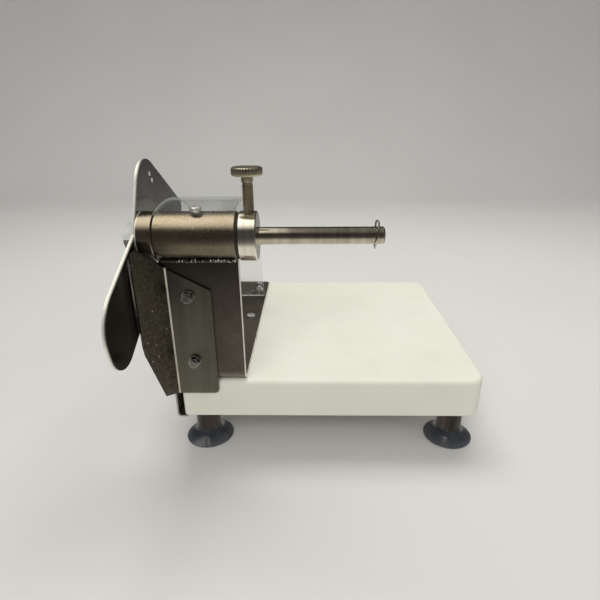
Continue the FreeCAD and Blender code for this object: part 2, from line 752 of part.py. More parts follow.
def thumb_screw_profile(tip, low, high):
    """Half section as (radius, z): tip, thread form, neck and head."""
    core_r, crest_r, pitch, knob_r = [
        dim(alias) for alias in ("stud_core_r", "stud_r", "stud_pitch", "knob_r")]
    neck_r, knob_bevel = crest_r + 0.12, 0.8
    neck = low - 4.4
    thread_start = tip + 0.6
    turns = int((neck.value - tip.value - 1.2) / pitch.value)
    profile = [(0.0, tip), (1.9, tip), (core_r, thread_start)]
    for k in range(turns):
        root = thread_start + pitch * float(k)
        profile += [(crest_r, root + pitch * 0.44), (crest_r, root + pitch * 0.56),
                    (core_r, root + pitch)]
    profile += [
        (core_r, neck), (neck_r, neck + 0.3), (neck_r, low),
        (knob_r - knob_bevel, low), (knob_r, low + knob_bevel),
        (knob_r, high - knob_bevel), (knob_r - knob_bevel, high), (0.0, high),
    ]
    return profile


def thumb_screw():
    """Turned about its own vertical axis, with V grooves round the head."""
    tip = AXIS_Z + dim("shaft_r") + 0.05
    low = dim("knob_low")
    high = low + dim("knob_thk")
    groove_count, groove_depth, groove_half = 44, 0.45, 0.75
    body = new_body("thumb_screw")
    profile = [(THUMB_X + r, z) for r, z in thumb_screw_profile(tip, low, high)]
    sk = sketch(body, "turned_profile", "XZ_Plane", -AXIS_Y, [poly(profile)])
    add_axis(sk, (THUMB_X, tip - 5.0), (THUMB_X, tip - 1.0))
    turn(body, "Revolution", "turned", sk, "Axis0")

    before = body.Shape.Volume
    rim_x = THUMB_X + dim("knob_r")
    sk = sketch(body, "knurl_sketch", "XY_Plane", high + 1.0, [poly([
        (rim_x - groove_depth, AXIS_Y),
        (rim_x + 0.6, AXIS_Y - groove_half),
        (rim_x + 0.6, AXIS_Y + groove_half)])])
    groove = extrude(body, "Pocket", "knurl_cut", sk, dim("knob_thk") + 2.0)
    axis_sketch = sketch(body, "knob_axis_sketch", "XZ_Plane", -AXIS_Y, [])
    add_axis(axis_sketch, (THUMB_X, low), (THUMB_X, high))
    pattern = body.newObject("PartDesign::PolarPattern", "knurl")
    pattern.Originals = [groove]
    pattern.Axis = (axis_sketch, ["Axis0"])
    pattern.Angle = 360
    pattern.Occurrences = groove_count
    body.Tip = pattern
    doc.recompute()
    require_cut(body, "knurl", before)


# ---------------------------------------------------------------- clear guard
def slope_drills(stem, start, end):
    """Drills square to the slope, from one distance outwards of the guard to another."""
    return [cyl("%s_%d" % (stem, k), SHEET_HOLE_R, end - start,
                x, *slope_point(GUARD_SCREW_ALONG, start), SLOPE_OUT)
            for k, x in enumerate(GUARD_SCREW_X)]


def clear_guard():
    """Arched sheet: starts above the tube, rises a little, then falls to the floor plate."""
    thick = dim("guard_thk")

    def inset(point, degrees):
        angle = math.radians(degrees)
        return (point[0] - thick * math.cos(angle), point[1] - thick * math.sin(angle))

    body = loose_body("B_clear_guard", "clear_guard_blank")
    pad(body, "arched_sheet", "X", dim("guard_left"), dim("guard_right"), [("path", [
        (*GUARD_START, (*ARC_CENTRE, ARC_R, False)),
        (*GUARD_KNEE, None),
        (*GUARD_LOW, None),
        (*inset(GUARD_LOW, ARC_END), None),
        (*inset(GUARD_KNEE, ARC_END), (*ARC_CENTRE, ARC_R - thick, True)),
        (*inset(GUARD_START, ARC_START), None),
    ])])
    drill_from, drill_to = 12.0, 30.0
    top_drill = cyl("top_drill", 2.3, drill_to - drill_from, *top_screw_spot(drill_from), SQUARE)
    drilled("clear_guard", body, slope_drills("guard_drill", -4.0, 2.0) + [top_drill])


def guard_bracket():
    """Angle strip behind the guard's lower edge, which holds it to the floor plate."""
    height = 17.0
    body = loose_body("B_guard_bracket", "guard_bracket_blank")
    pad(body, "strip", "X", 2.0, dim("guard_right") - 1.0, [poly([
        STRIP_HEEL, slope_point(height, STRIP_GAP), slope_point(height, STRIP_GAP + STRIP_THK),
        STRIP_INNER_HEEL, (STRIP_REAR, STRIP_UNDER + STRIP_THK), (STRIP_REAR, STRIP_UNDER)])])
    pocket(body, "foot_holes", "Z", FLOOR_TOP - 1.0, FLOOR_TOP + 3.0,
           circles(STRIP_SPOTS, SHEET_HOLE_R))
    drilled("guard_bracket", body, slope_drills("strip_drill", -1.0, 4.0))


def guard_fasteners():
    strip_top = FLOOR_TOP + (CLEAR + STRIP_THK)
    screws("guard_bracket_screws", "strip_screw",
           [(x, y, strip_top + CLEAR) for x, y in STRIP_SPOTS],
           UP, head_r=3.5, head_thk=2.2, shank_r=BOARD_SCREW_R, length=15.0)

    # Screw through the guard into the tube; distances are from the tube's axis
    seat, shank_tip = ARC_R + CLEAR - CENTRES_APART, 12.5
    piece(pan_screw("top_screw", *top_screw_spot(seat), SQUARE, head_r=4.0, head_thk=2.8,
                    shank_r=GUARD_SCREW_R, length=seat - shank_tip), "guard_top_screw")

    # Heads inside the guard, nuts outside the strip
    head_seat = slope_point(GUARD_SCREW_ALONG, -(SIZE["guard_thk"] + CLEAR))
    screws("guard_screws", "guard_screw", [(x, *head_seat) for x in GUARD_SCREW_X],
           SLOPE_IN, head_r=3.6, head_thk=2.3, shank_r=GUARD_SCREW_R, length=8.6)
    nut_seat = slope_point(GUARD_SCREW_ALONG, STRIP_GAP + STRIP_THK + 0.03)
    group("guard_nuts", [
        hex_nut("guard_nut_%d" % k, x, *nut_seat, SLOPE_OUT, flats=7.0, thick=3.2, bore_r=2.0)
        for k, x in enumerate(GUARD_SCREW_X)])


# ---------------------------------------------------------------- front guard bracket
FLANGE_FRONT = -SIZE["sheet_thk"] - CLEAR      # y of the flange's front face


def front_guard_bracket():
    """Flange along X on the front wall, and a wing turned towards the operator."""
    thick = SIZE["sheet_thk"]
    bend_x, right = SIZE["bend_x"], dim("flange_right")
    turned = math.radians(SIZE["wing_angle"])
    along = (-math.cos(turned), -math.sin(turned))    # along the wing, left and forward
    across = (math.sin(turned), -math.cos(turned))    # out of the wing's front right face
    # Both faces bend about one centre; the front face is the hollow one.
    front_r = 1.5
    back_r = front_r + thick
    tangent = front_r * math.tan(turned / 2)
    centre = (bend_x + tangent, FLANGE_FRONT - front_r)
    straight = SIZE["wing_len"] - tangent

    def wing_root(radius):
        return (centre[0] - radius * across[0], centre[1] - radius * across[1])

    def wing_tip(radius):
        root = wing_root(radius)
        return (root[0] + along[0] * straight, root[1] + along[1] * straight)

    body = new_body("front_guard_bracket")
    pad(body, "bent_strip", "Z", 10.0, 150.0, [("path", [
        (right, FLANGE_FRONT, None),
        (right, FLANGE_FRONT + thick, None),
        (centre[0], FLANGE_FRONT + thick, (*centre, back_r, True)),
        (*wing_root(back_r), None),
        (*wing_tip(back_r), None),
        (*wing_tip(front_r), None),
        (*wing_root(front_r), (*centre, front_r, False)),
        (centre[0], FLANGE_FRONT, None),
    ])])
    # The strip is trimmed to this outline, seen from the front: (x, z)
    left = min(wing_tip(front_r)[0], wing_tip(back_r)[0])
    low = 22.3
    outline = poly([
        (-7.8, 26.3), (bend_x + 0.6, low), (right + 0.05, low), (right + 0.05, 106.0),
        (bend_x, 122.4), (-9.5, 136.1), (-13.0, 140.1), (left - 0.05, 138.2),
        (left - 0.05, 73.0), (-14.2, 63.0)])
    pocket(body, "outline_cut", "Y", -40.0, 20.0,
           [rect(left - 10.0, 5.0, right + 10.0, 160.0), outline])
    dress(body, "Fillet", "low_corner", straight_edges(body.Tip.Shape, "Y", [(right, low)]), 3.5)
    pocket(body, "fastener_holes", "Y", -6.0, 4.0, circles(BRACKET_SPOTS, BRACKET_HOLE_R))


def bracket_fasteners():
    """Screw heads behind the front wall, washers and nuts in front of the flange."""
    screws("bracket_screws", "bracket_screw", [(x, SHEET + CLEAR, z) for x, z in BRACKET_SPOTS],
           BACK, head_r=4.4, head_thk=2.6, shank_r=2.45, length=9.0)
    washer_thk = 0.9
    washer_y = FLANGE_FRONT - CLEAR
    nut_y = washer_y - washer_thk - CLEAR
    washers = []
    for k, (x, z) in enumerate(BRACKET_SPOTS):
        disc = cyl("bracket_washer_o_%d" % k, 4.4, washer_thk, x, washer_y, z, FRONT)
        hole = cyl("bracket_washer_i_%d" % k, 2.6, 3.0, x, FLANGE_FRONT + 1.0, z, FRONT)
        washers.append(cut("bracket_washer_%d" % k, disc, hole))
    group("bracket_washers", washers)
    group("bracket_nuts", [
        hex_nut("bracket_nut_%d" % k, x, nut_y, z, FRONT, flats=7.0, thick=3.4, bore_r=2.5)
        for k, (x, z) in enumerate(BRACKET_SPOTS)])


# ---------------------------------------------------------------- side plate
def side_plate():
    """Sheet up the board's left side, rolled under it to a tab along the underside."""
    outer, thick = dim("side_out"), dim("side_thk")
    roll_r, tab_right = 3.0, 22.0
    low = -thick - CLEAR
    roll_x, roll_z = outer + roll_r, low + roll_r
    body = new_body("side_plate")
    pad(body, "rolled_sheet", "Y", 0.6, 190.0, [("path", [
        (outer, roll_z, None),
        (outer, dim("side_top"), None),
        (outer + thick, dim("side_top"), None),
        (outer + thick, roll_z, (roll_x, roll_z, roll_r - thick, True)),
        (roll_x, low + thick, None),
        (tab_right, low + thick, None),
        (tab_right, low, None),
        (roll_x, low, (roll_x, roll_z, roll_r, False)),
    ])])
    # The tab is cut away round the left legs
    for name, front, back in (("leg_clear_front", -2.0, 46.0), ("leg_clear_back", 178.0, 195.0)):
        pocket(body, name, "Z", -5.0, 1.0, [rect(2.4, front, 25.0, back)])
    pocket(body, "tab_holes", "Z", -5.0, 1.0, circles(SIDE_SPOTS, SHEET_HOLE_R))
    screws("side_plate_screws", "side_screw", [(x, y, low - 0.01) for x, y in SIDE_SPOTS],
           DOWN, head_r=3.6, head_thk=2.2, shank_r=BOARD_SCREW_R, length=13.0)


# ---------------------------------------------------------------- feet
def foot_leg(k, x, y):
    """Round leg, bored through, with a wider seat for the cup's stem at its lower end."""
    length, bevel = dim("leg_len"), 0.6
    outer = cyl("leg_outer_%d" % k, dim("leg_r"), length, x, y, -length)
    bore = cyl("leg_bore_%d" % k, 3.1, length + 2.0, x, y, -length - 1.0)
    seat = cyl("leg_seat_%d" % k, 6.6, 6.0, x, y, -length - 1.0)
    leg = cut("leg_%d" % k, outer, fuse("leg_tools_%d" % k, [bore, seat]))
    doc.recompute()
    rim = circle_edges(leg.Shape, "Z", dim("leg_reach") - length, dim("leg_r"))
    bevelled = doc.addObject("Part::Chamfer", "leg_edge_%d" % k)
    bevelled.Base = leg
    bevelled.Edges = [(n, bevel, bevel) for n in rim]
    return bevelled


def suction_cup(k, x, y):
    """Stem in the leg's seat, thin flared skirt, flat rim on the table."""
    top, table, rim_r = -dim("leg_len"), -dim("leg_reach"), dim("cup_r")
    # Half section: (radius, z)
    profile = [
        (0.0, top + 4.5), (6.2, top + 4.5), (6.2, top - 0.05), (9.6, top - 0.05),
        (10.4, top - 1.0), (11.6, top - 3.6), (14.6, top - 6.4),
        (rim_r - 0.9, table + 1.9), (rim_r, table + 1.2), (rim_r, table + 0.5),
        (rim_r - 0.5, table), (rim_r - 3.0, table), (rim_r - 4.4, table + 0.9),
        (12.2, table + 2.5), (8.0, table + 4.4), (0.0, table + 5.0),
    ]
    name = "cup_body_%d" % k
    body = loose_body(name, name, x, y)
    sk = sketch(body, "cup_sketch_%d" % k, "XZ_Plane", 0.0, [poly(profile)])
    turn(body, "Revolution", "cup_turned_%d" % k, sk, "V_Axis")
    return body


def foot_stud(k, x, y):
    """M6 stud from the leg into the board."""
    return cyl("stud_%d" % k, 3.0, 30.0, x, y, -17.0)


def feet():
    for label, make in (("foot_legs", foot_leg), ("foot_studs", foot_stud),
                        ("suction_cups", suction_cup)):
        group(label, [make(k, x, y) for k, (x, y) in enumerate(LEG_SPOTS)])


# ---------------------------------------------------------------- build and export
def export_pieces():
    bad = [(o.Name, list(o.State)) for o in doc.Objects
           if any(state in ("Invalid", "Error") for state in o.State)]
    if bad:
        raise RuntimeError("failed objects: %s" % bad)
    for label, obj in PIECES.items():
        shape = obj.Shape
        if shape.isNull() or not shape.isValid() or shape.Volume <= 0 or not shape.Solids:
            raise RuntimeError("bad shape: %s" % label)
    for label, obj in PIECES.items():
        obj.Shape.exportStep(os.path.join("parts", label + ".step"))


cutting_board()
channel_frame()
bearing_tube()
tube_weld()
bushes()
lever_hub()
lever_plate()
shaft_bolt()
head_washer()
end_clip()
lock_collar()
thumb_screw()
clear_guard()
guard_bracket()
guard_fasteners()
front_guard_bracket()
bracket_fasteners()
side_plate()
feet()
doc.recompute()
export_pieces()
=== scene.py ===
import math
import random
from functools import cached_property

import bmesh
import bpy
from mathutils import Matrix, Vector


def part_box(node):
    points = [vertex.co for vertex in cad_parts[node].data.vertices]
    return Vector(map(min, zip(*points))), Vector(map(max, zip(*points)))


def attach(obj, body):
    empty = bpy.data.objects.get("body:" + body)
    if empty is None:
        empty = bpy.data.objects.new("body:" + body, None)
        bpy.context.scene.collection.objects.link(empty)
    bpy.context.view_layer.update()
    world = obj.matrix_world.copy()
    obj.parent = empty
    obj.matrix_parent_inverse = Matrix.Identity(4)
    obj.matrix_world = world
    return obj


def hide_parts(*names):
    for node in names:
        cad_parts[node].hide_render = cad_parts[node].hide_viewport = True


MM = 0.001

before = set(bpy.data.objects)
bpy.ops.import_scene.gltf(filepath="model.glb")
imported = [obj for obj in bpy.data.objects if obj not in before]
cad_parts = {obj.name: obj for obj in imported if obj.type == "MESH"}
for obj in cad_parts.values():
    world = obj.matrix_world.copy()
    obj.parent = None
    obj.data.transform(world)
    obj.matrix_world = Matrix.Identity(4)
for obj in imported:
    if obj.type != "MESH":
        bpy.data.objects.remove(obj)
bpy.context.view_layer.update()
random.seed(7)


# ---------------------------------------------------------------- node helpers
class Nodes:
    """Shorthand for a node tree. Every call adds new nodes and returns an output socket."""

    def __init__(self, tree, coordinates):
        self.tree = tree
        tree.nodes.clear()
        self.place = self.new("TexCoord").outputs[coordinates]

    def new(self, kind):
        return self.tree.nodes.new("ShaderNode" + kind)

    def put(self, socket, value):
        """Links a socket or stores a value; a colour of three gets an alpha of 1."""
        if isinstance(value, bpy.types.NodeSocket):
            self.tree.links.new(value, socket)
        elif isinstance(value, tuple) and len(value) == 3 and len(socket.default_value) == 4:
            socket.default_value = (*value, 1.0)
        else:
            socket.default_value = value

    def node(self, kind, **inputs):
        """A node with inputs set by name, underscores standing for spaces."""
        node = self.new(kind)
        for key, value in inputs.items():
            self.put(node.inputs[key.replace("_", " ")], value)
        return node.outputs[0]

    def math(self, operation, first, second=0.0, clamp=False):
        node = self.new("Math")
        node.operation = operation
        node.use_clamp = clamp
        self.put(node.inputs[0], first)
        self.put(node.inputs[1], second)
        return node.outputs[0]

    def times(self, first, second, clamp=False):
        return self.math("MULTIPLY", first, second, clamp)

    def most(self, first, second):
        return self.math("MAXIMUM", first, second)

    def axis(self, name, vector=None):
        node = self.new("SeparateXYZ")
        self.put(node.inputs[0], vector or self.place)
        return node.outputs[name]

    def remap(self, value, span, to=(0.0, 1.0), smooth=False):
        """Maps span onto to, held at both ends; a falling span reverses it."""
        node = self.new("MapRange")
        if smooth:
            node.interpolation_type = "SMOOTHSTEP"
        self.put(node.inputs["Value"], value)
        for side, limits in (("From", span), ("To", to)):
            node.inputs[side + " Min"].default_value = limits[0]
            node.inputs[side + " Max"].default_value = limits[1]
        return node.outputs[0]

    def ramp(self, value, stops):
        """A colour ramp from stops of (position, colour)."""
        node = self.new("ValToRGB")
        elements = node.color_ramp.elements
        while len(elements) < len(stops):
            elements.new(0.5)
        for element, (position, colour) in zip(elements, stops):
            element.position = position
            element.color = (*colour, 1.0)
        self.put(node.inputs[0], value)
        return node.outputs[0]

    def mix(self, factor, first, second):
        node = self.new("Mix")
        node.data_type = "RGBA"
        # The colour sockets of a Mix node are inputs 6 and 7 and output 2.
        self.put(node.inputs[0], factor)
        self.put(node.inputs[6], first)
        self.put(node.inputs[7], second)
        return node.outputs[2]


class Shade(Nodes):
    """A material whose patterns lie in the piece's own coordinates (metres)."""

    def __init__(self, name):
        self.material = bpy.data.materials.new(name)
        self.material.use_nodes = True
        super().__init__(self.material.node_tree, "Object")
        self.output = self.new("OutputMaterial")

    @cached_property
    def normal(self):
        return self.new("NewGeometry").outputs["Normal"]

    def surface(self, shader):
        self.put(self.output.inputs["Surface"], shader)
        return self.material

    def finish(self, **inputs):
        """Closes the material with a Principled shader."""
        return self.surface(self.node("BsdfPrincipled", **inputs))

    def noise(self, scale=1.0, detail=2.0, rough=0.5, stretch=None, bend=0.0):
        """Noise; stretch multiplies the frequency along each axis, bend distorts it."""
        source = self.scaled(stretch) if stretch else self.place
        return self.node("TexNoise", Vector=source, Scale=scale, Detail=detail,
                         Roughness=rough, Distortion=bend)

    def patches(self, span, to=(0.0, 1.0), **noise):
        return self.remap(self.noise(**noise), span, to)

    def scaled(self, scale):
        return self.node("Mapping", Vector=self.place, Scale=scale)

    def dots(self, scale, span):
        """Round dots, one to a cell; span is the distance over which a dot fades in."""
        return self.remap(self.node("TexVoronoi", Vector=self.place, Scale=scale), span)

    def blend(self, first, second, share):
        """Adds two values, of which the second has the given share."""
        return self.math("ADD", self.times(first, 1 - share), self.times(second, share))

    def paint(self, base, colour, where, amount):
        return self.mix(self.times(where, amount), base, colour)

    def bumps(self, *layers):
        """Stacked bumps, each (height, strength, distance in metres)."""
        normal = None
        for height, strength, distance in layers:
            inputs = {"Height": height, "Strength": strength, "Distance": distance}
            if normal is not None:
                inputs["Normal"] = normal
            normal = self.node("Bump", **inputs)
        return normal

    def vector_math(self, operation, first, second=None, output="Value"):
        node = self.new("VectorMath")
        node.operation = operation
        self.put(node.inputs[0], first)
        if second is not None:
            self.put(node.inputs[1], second)
        return node.outputs[output]

    def facing_x(self, span):
        """Maps how far a face looks along the piece's X axis, either way."""
        local = self.new("VectorTransform")
        local.vector_type = "NORMAL"
        local.convert_from = "WORLD"
        local.convert_to = "OBJECT"
        self.put(local.inputs[0], self.normal)
        facing = self.vector_math("ABSOLUTE", local.outputs[0], output="Vector")
        return self.remap(self.axis("X", facing), span)

    def edge_mask(self, radius):
        """0 on open faces, 1 at sharp edges."""
        bevel = self.new("Bevel")
        bevel.samples = 4
        bevel.inputs["Radius"].default_value = radius
        match = self.vector_math("DOT_PRODUCT", bevel.outputs[0], self.normal)
        return self.remap(match, span=(0.99, 0.80))


# ---------------------------------------------------------------- materials
def board_plastic():
    """Milky plastic with haze, saw grain and shallow scratches."""
    s = Shade("milky_board")
    soft = s.patches(scale=9, detail=3, rough=0.55, span=(0.35, 0.65))
    colour = s.mix(soft, (0.772, 0.785, 0.712), (0.742, 0.748, 0.664))
    haze = s.patches(scale=34, detail=4, rough=0.6, span=(0.5, 0.75), to=(0.0, 0.30))
    colour = s.mix(haze, colour, (0.685, 0.682, 0.600))
    # Scratches along X and along Y.
    marks = s.most(s.patches(stretch=(22, 900, 60), bend=0.6, span=(0.68, 0.76)),
                   s.patches(stretch=(700, 26, 60), bend=0.8, span=(0.70, 0.78)))
    colour = s.paint(colour, (0.70, 0.68, 0.60), where=marks, amount=0.10)
    saw = s.noise(stretch=(1400, 1400, 30), detail=3, rough=0.6)
    grit = s.noise(scale=2600, rough=0.6)
    return s.finish(
        Base_Color=colour,
        Roughness=s.patches(scale=60, detail=4, rough=0.6, span=(0.3, 0.7), to=(0.36, 0.52)),
        Normal=s.bumps((saw, 0.10, 0.0002), (grit, 0.16, 0.0001), (marks, -0.20, 0.00012)),
        IOR=1.53, Subsurface_Weight=0.22, Subsurface_Radius=(1.0, 0.86, 0.62),
        Subsurface_Scale=0.006)


def mottled_steel(name, *, dark, mid, light, rough, chip_and_sheen_z, chip_and_sheen_to, edge=(0.62, 0.58, 0.50),
                  edge_radius=0.0005, fine=900, glint=0.0, tints=(), band_x=None, band_colour=None):
    """Dull steel: clouds of scale, a fine speckle and bright chipped edges, which are partly real
    chips and partly a painted highlight.

    chip_and_sheen_z and chip_and_sheen_to fade the chips with height. Each tint is (z span,
    amount, colour).
    band_x is the start and end of a painted highlight band.
    """
    s = Shade(name)
    clouds = s.noise(scale=26, detail=4, rough=0.6, stretch=(1, 1, 1), bend=0.4)
    speckle = s.noise(scale=fine, detail=3, rough=0.7, stretch=(1, 1, 1))
    body = s.blend(clouds, speckle, share=0.45)
    colour = s.ramp(body, [(0.30, dark), (0.50, mid), (0.70, light)])
    rub = s.noise(stretch=(1600, 1600, 60), detail=3, rough=0.6)
    breaks = s.patches(scale=420, detail=3, rough=0.7, span=(0.25, 0.55))
    chips = s.times(s.edge_mask(edge_radius), breaks, clamp=True)
    # The fade with height keeps the bright edges where light falls, so here they are partly a
    # painted highlight.
    chips = s.times(chips, s.remap(s.axis("Z"), chip_and_sheen_z, chip_and_sheen_to))
    colour = s.mix(chips, colour, edge)
    roughness = s.remap(body, span=(0.32, 0.68), to=rough)
    roughness = s.math("ADD", s.times(chips, -0.10), roughness, clamp=True)
    if glint:
        # Small bright flecks where the scale has rubbed off.
        flecks = s.times(s.patches(scale=1500, span=(0.60, 0.70)),
                         s.patches(scale=130, detail=3, rough=0.6, span=(0.42, 0.60)))
        colour = s.paint(colour, (0.90, 0.86, 0.76), where=flecks, amount=glint)
    for span, amount, tint in tints:
        colour = s.mix(s.remap(s.axis("Z"), span, to=(0.0, amount)), colour, tint)
    metallic = 1.0
    if band_x:
        # The painted highlight band has soft sides and is slightly broken along its length.
        start, end = band_x
        x = s.axis("X")
        band = s.times(s.remap(x, span=(start, start + 0.00025)),
                       s.remap(x, span=(end + 0.0002, end)))
        gaps = s.patches(scale=90, detail=3, rough=0.6, span=(0.25, 0.50), to=(0.55, 1.0))
        band = s.times(band, gaps, clamp=True)
        colour = s.mix(band, colour, band_colour)
        metallic = s.remap(band, span=(0.0, 1.0), to=(1.0, 0.45))
        roughness = s.most(roughness, s.times(band, 0.45))
    return s.finish(Base_Color=colour, Metallic=metallic, Roughness=roughness, Anisotropic=0.25,
                    Normal=s.bumps((speckle, 0.22, 0.00012), (rub, 0.05, 0.00006)))


def side_sheet():
    """Satin sheet with long soft brushing along Y and a few handling marks."""
    s = Shade("side_sheet")
    brushing = (900, 22, 900)
    long_streaks = s.noise(stretch=brushing, detail=4, rough=0.6)
    hair = s.noise(stretch=tuple(9 * k for k in brushing), rough=0.6)
    body = s.blend(long_streaks, s.noise(scale=19, detail=3), share=0.45)
    colour = s.mix(s.remap(body, span=(0.36, 0.62)), (0.36, 0.35, 0.32), (0.50, 0.48, 0.43))
    marks = s.patches(stretch=(70, 500, 900), bend=1.5, span=(0.70, 0.76))
    colour = s.mix(s.edge_mask(radius=0.0005), colour, (0.72, 0.69, 0.60))
    roughness = s.remap(body, span=(0.34, 0.66), to=(0.24, 0.42))
    roughness = s.math("ADD", roughness, s.times(marks, 0.12), clamp=True)
    return s.finish(Base_Color=colour, Metallic=1.0, Roughness=roughness, Anisotropic=0.45,
                    Normal=s.bumps((hair, 0.10, 0.00005), (marks, -0.15, 0.00005)))


def turned_steel(name, *, dark, light, rough, rings=2600, ring=(1, 0.02, 0.02), deep=0.12,
                 edge=(0.86, 0.83, 0.74), edge_radius=0.0004, blotch=0.35, aniso=0.3, metal=(1.0, 1.0)):
    """Turned metal: fine tool lines, a thin oil film, small pits and bright edges, rubbed on most
    parts and a painted highlight on the nuts and screws.

    rings and ring set the line frequency and its stretch, deep their strength, blotch the
    film's share of the colour, and metal the metallic value on faces and on edges.
    """
    s = Shade(name)
    lines = s.noise(scale=rings, rough=0.6, stretch=ring)
    wide = s.noise(scale=rings / 9, stretch=ring)
    film = s.noise(scale=55, detail=4, rough=0.6)
    body = s.blend(wide, film, share=blotch)
    colour = s.mix(s.remap(body, span=(0.36, 0.66)), dark, light)
    edges = s.edge_mask(edge_radius)
    colour = s.mix(edges, colour, edge)
    pits = s.times(s.dots(scale=520, span=(0.14, 0.08)), s.patches(scale=90, span=(0.56, 0.60)))
    colour = s.paint(colour, (0.14, 0.12, 0.10), where=pits, amount=0.5)
    return s.finish(Base_Color=colour,
                    Metallic=s.remap(edges, span=(0.0, 1.0), to=metal),
                    Roughness=s.remap(film, span=(0.3, 0.7), to=rough),
                    Normal=s.bumps((lines, deep, 0.00008), (pits, -0.2, 0.0001)),
                    Anisotropic=aniso)


def plate_steel():
    """Polished plate: a nearly mirror-like side face with painted shade and a painted reflection,
    and sheared rims and hole edges with painted highlights.
    """
    s = Shade("polished_plate")
    cloud = s.patches(scale=24, detail=4, rough=0.55, span=(0.35, 0.65))
    hair = s.noise(stretch=(60, 60, 1500), detail=3, rough=0.6)
    colour = s.mix(cloud, (0.190, 0.186, 0.174), (0.275, 0.268, 0.250))
    rim = s.facing_x(span=(0.75, 0.45))
    # Across the rim: a painted highlight on the left, and a torn darker band on the right.
    across = s.remap(s.axis("X"), span=(-0.1215, -0.1204))
    band = s.mix(across, (0.86, 0.84, 0.78), (0.22, 0.215, 0.20))
    torn = s.patches(scale=260, detail=3, rough=0.6, span=(0.50, 0.80), to=(0.0, 0.5))
    band = s.mix(torn, band, (0.45, 0.44, 0.40))
    # Painted shade darkens the face downwards, and a painted reflection lightens it again at its
    # lower end.
    low = s.remap(s.axis("Z"), span=(0.160, 0.140))
    tail = s.remap(s.axis("Z"), span=(0.128, 0.108))
    colour = s.paint(colour, (0.036, 0.033, 0.026), where=low, amount=0.66)
    colour = s.paint(colour, (0.200, 0.194, 0.178), where=tail, amount=0.65)
    colour = s.mix(rim, colour, band)
    # Painted highlights in rings around the two small holes, at these centres in the YZ plane.
    rings = []
    for centre in ((0.0, -0.0385, 0.2139), (0.0, -0.0349, 0.2089)):
        distance = s.vector_math("DISTANCE", s.scaled((0, 1, 1)), centre)
        rings.append(s.remap(distance, span=(0.00180, 0.00160)))
    rings = s.most(*rings)
    colour = s.mix(rings, colour, (0.95, 0.94, 0.90))
    shear = s.noise(stretch=(120, 900, 900), detail=3, rough=0.6)
    smear = s.patches(scale=38, detail=5, rough=0.65, bend=0.8, span=(0.42, 0.72), to=(0.0, 0.16))
    roughness = s.math("ADD", s.times(rim, 0.16), s.math("ADD", smear, 0.13), clamp=True)
    roughness = s.most(roughness, s.times(rim, 0.34))
    scratches = s.patches(stretch=(60, 800, 70), bend=1.6, span=(0.70, 0.75))
    colour = s.paint(colour, (0.72, 0.71, 0.66), where=scratches, amount=0.12)
    # The rims and hole rings are less metallic, so their painted highlights stay bright in a dark
    # room.
    dull_rim = s.times(rim, s.remap(across, span=(0.0, 1.0), to=(0.55, 0.10)))
    metallic = s.math("SUBTRACT", 1.0, dull_rim, clamp=True)
    metallic = s.math("SUBTRACT", metallic, s.times(rings, 0.65), clamp=True)
    return s.finish(Base_Color=colour, Metallic=metallic, Roughness=roughness, Anisotropic=0.3,
                    Normal=s.bumps((hair, 0.035, 0.00004), (s.times(shear, rim), 0.30, 0.0001)))


def shaft_material():
    """Ground round bar with a pale plated hex head."""
    s = Shade("ground_shaft")
    around_x = (1, 0.02, 0.02)
    lines = s.noise(scale=2600, rough=0.6, stretch=around_x)
    wide = s.noise(scale=260, stretch=around_x)
    film = s.noise(scale=55, detail=4, rough=0.6)
    body = s.blend(wide, film, share=0.4)
    colour = s.mix(s.remap(body, span=(0.36, 0.66)), (0.400, 0.360, 0.290), (0.560, 0.515, 0.430))
    colour = s.mix(s.edge_mask(radius=0.0003), colour, (0.80, 0.77, 0.68))
    head = s.remap(s.axis("X"), span=(-0.1236, -0.1240))
    plating = s.patches(scale=210, detail=4, rough=0.65, span=(0.35, 0.70))
    zinc = s.mix(plating, (0.700, 0.715, 0.705), (0.860, 0.870, 0.850))
    # The flats that face down are painted dark as shade.
    downward = s.remap(s.axis("Z", s.normal), span=(0.06, -0.12))
    zinc = s.paint(zinc, (0.085, 0.080, 0.072), where=downward, amount=0.86)
    zinc = s.mix(s.edge_mask(radius=0.0005), zinc, (0.99, 0.99, 0.97))
    colour = s.mix(head, colour, zinc)
    bar_rough = s.remap(film, span=(0.3, 0.7), to=(0.12, 0.20))
    head_rough = s.patches(scale=300, detail=3, rough=0.6, span=(0.3, 0.7), to=(0.36, 0.52))
    grain = s.times(s.noise(scale=900, detail=3, rough=0.6), head)
    return s.finish(Base_Color=colour,
                    Metallic=s.remap(head, span=(0.0, 1.0), to=(1.0, 0.25)),
                    Roughness=s.most(bar_rough, s.times(head, head_rough)),
                    Normal=s.bumps((lines, 0.05, 0.00008), (grain, 0.15, 0.00012)))


def bearing_black():
    """Black polymer with faint flecks."""
    s = Shade("bearing_polymer")
    fleck = s.noise(scale=900, detail=3, rough=0.6)
    wide = s.noise(scale=60, detail=3)
    colour = s.mix(s.remap(wide, span=(0.3, 0.7)), (0.010, 0.010, 0.010), (0.022, 0.021, 0.020))
    bright = s.remap(fleck, span=(0.62, 0.72))
    colour = s.paint(colour, (0.055, 0.052, 0.048), where=bright, amount=0.5)
    return s.finish(Base_Color=colour, Roughness=s.remap(wide, span=(0.3, 0.7), to=(0.42, 0.58)),
                    Normal=s.bumps((fleck, 0.12, 0.0001)), IOR=1.5)


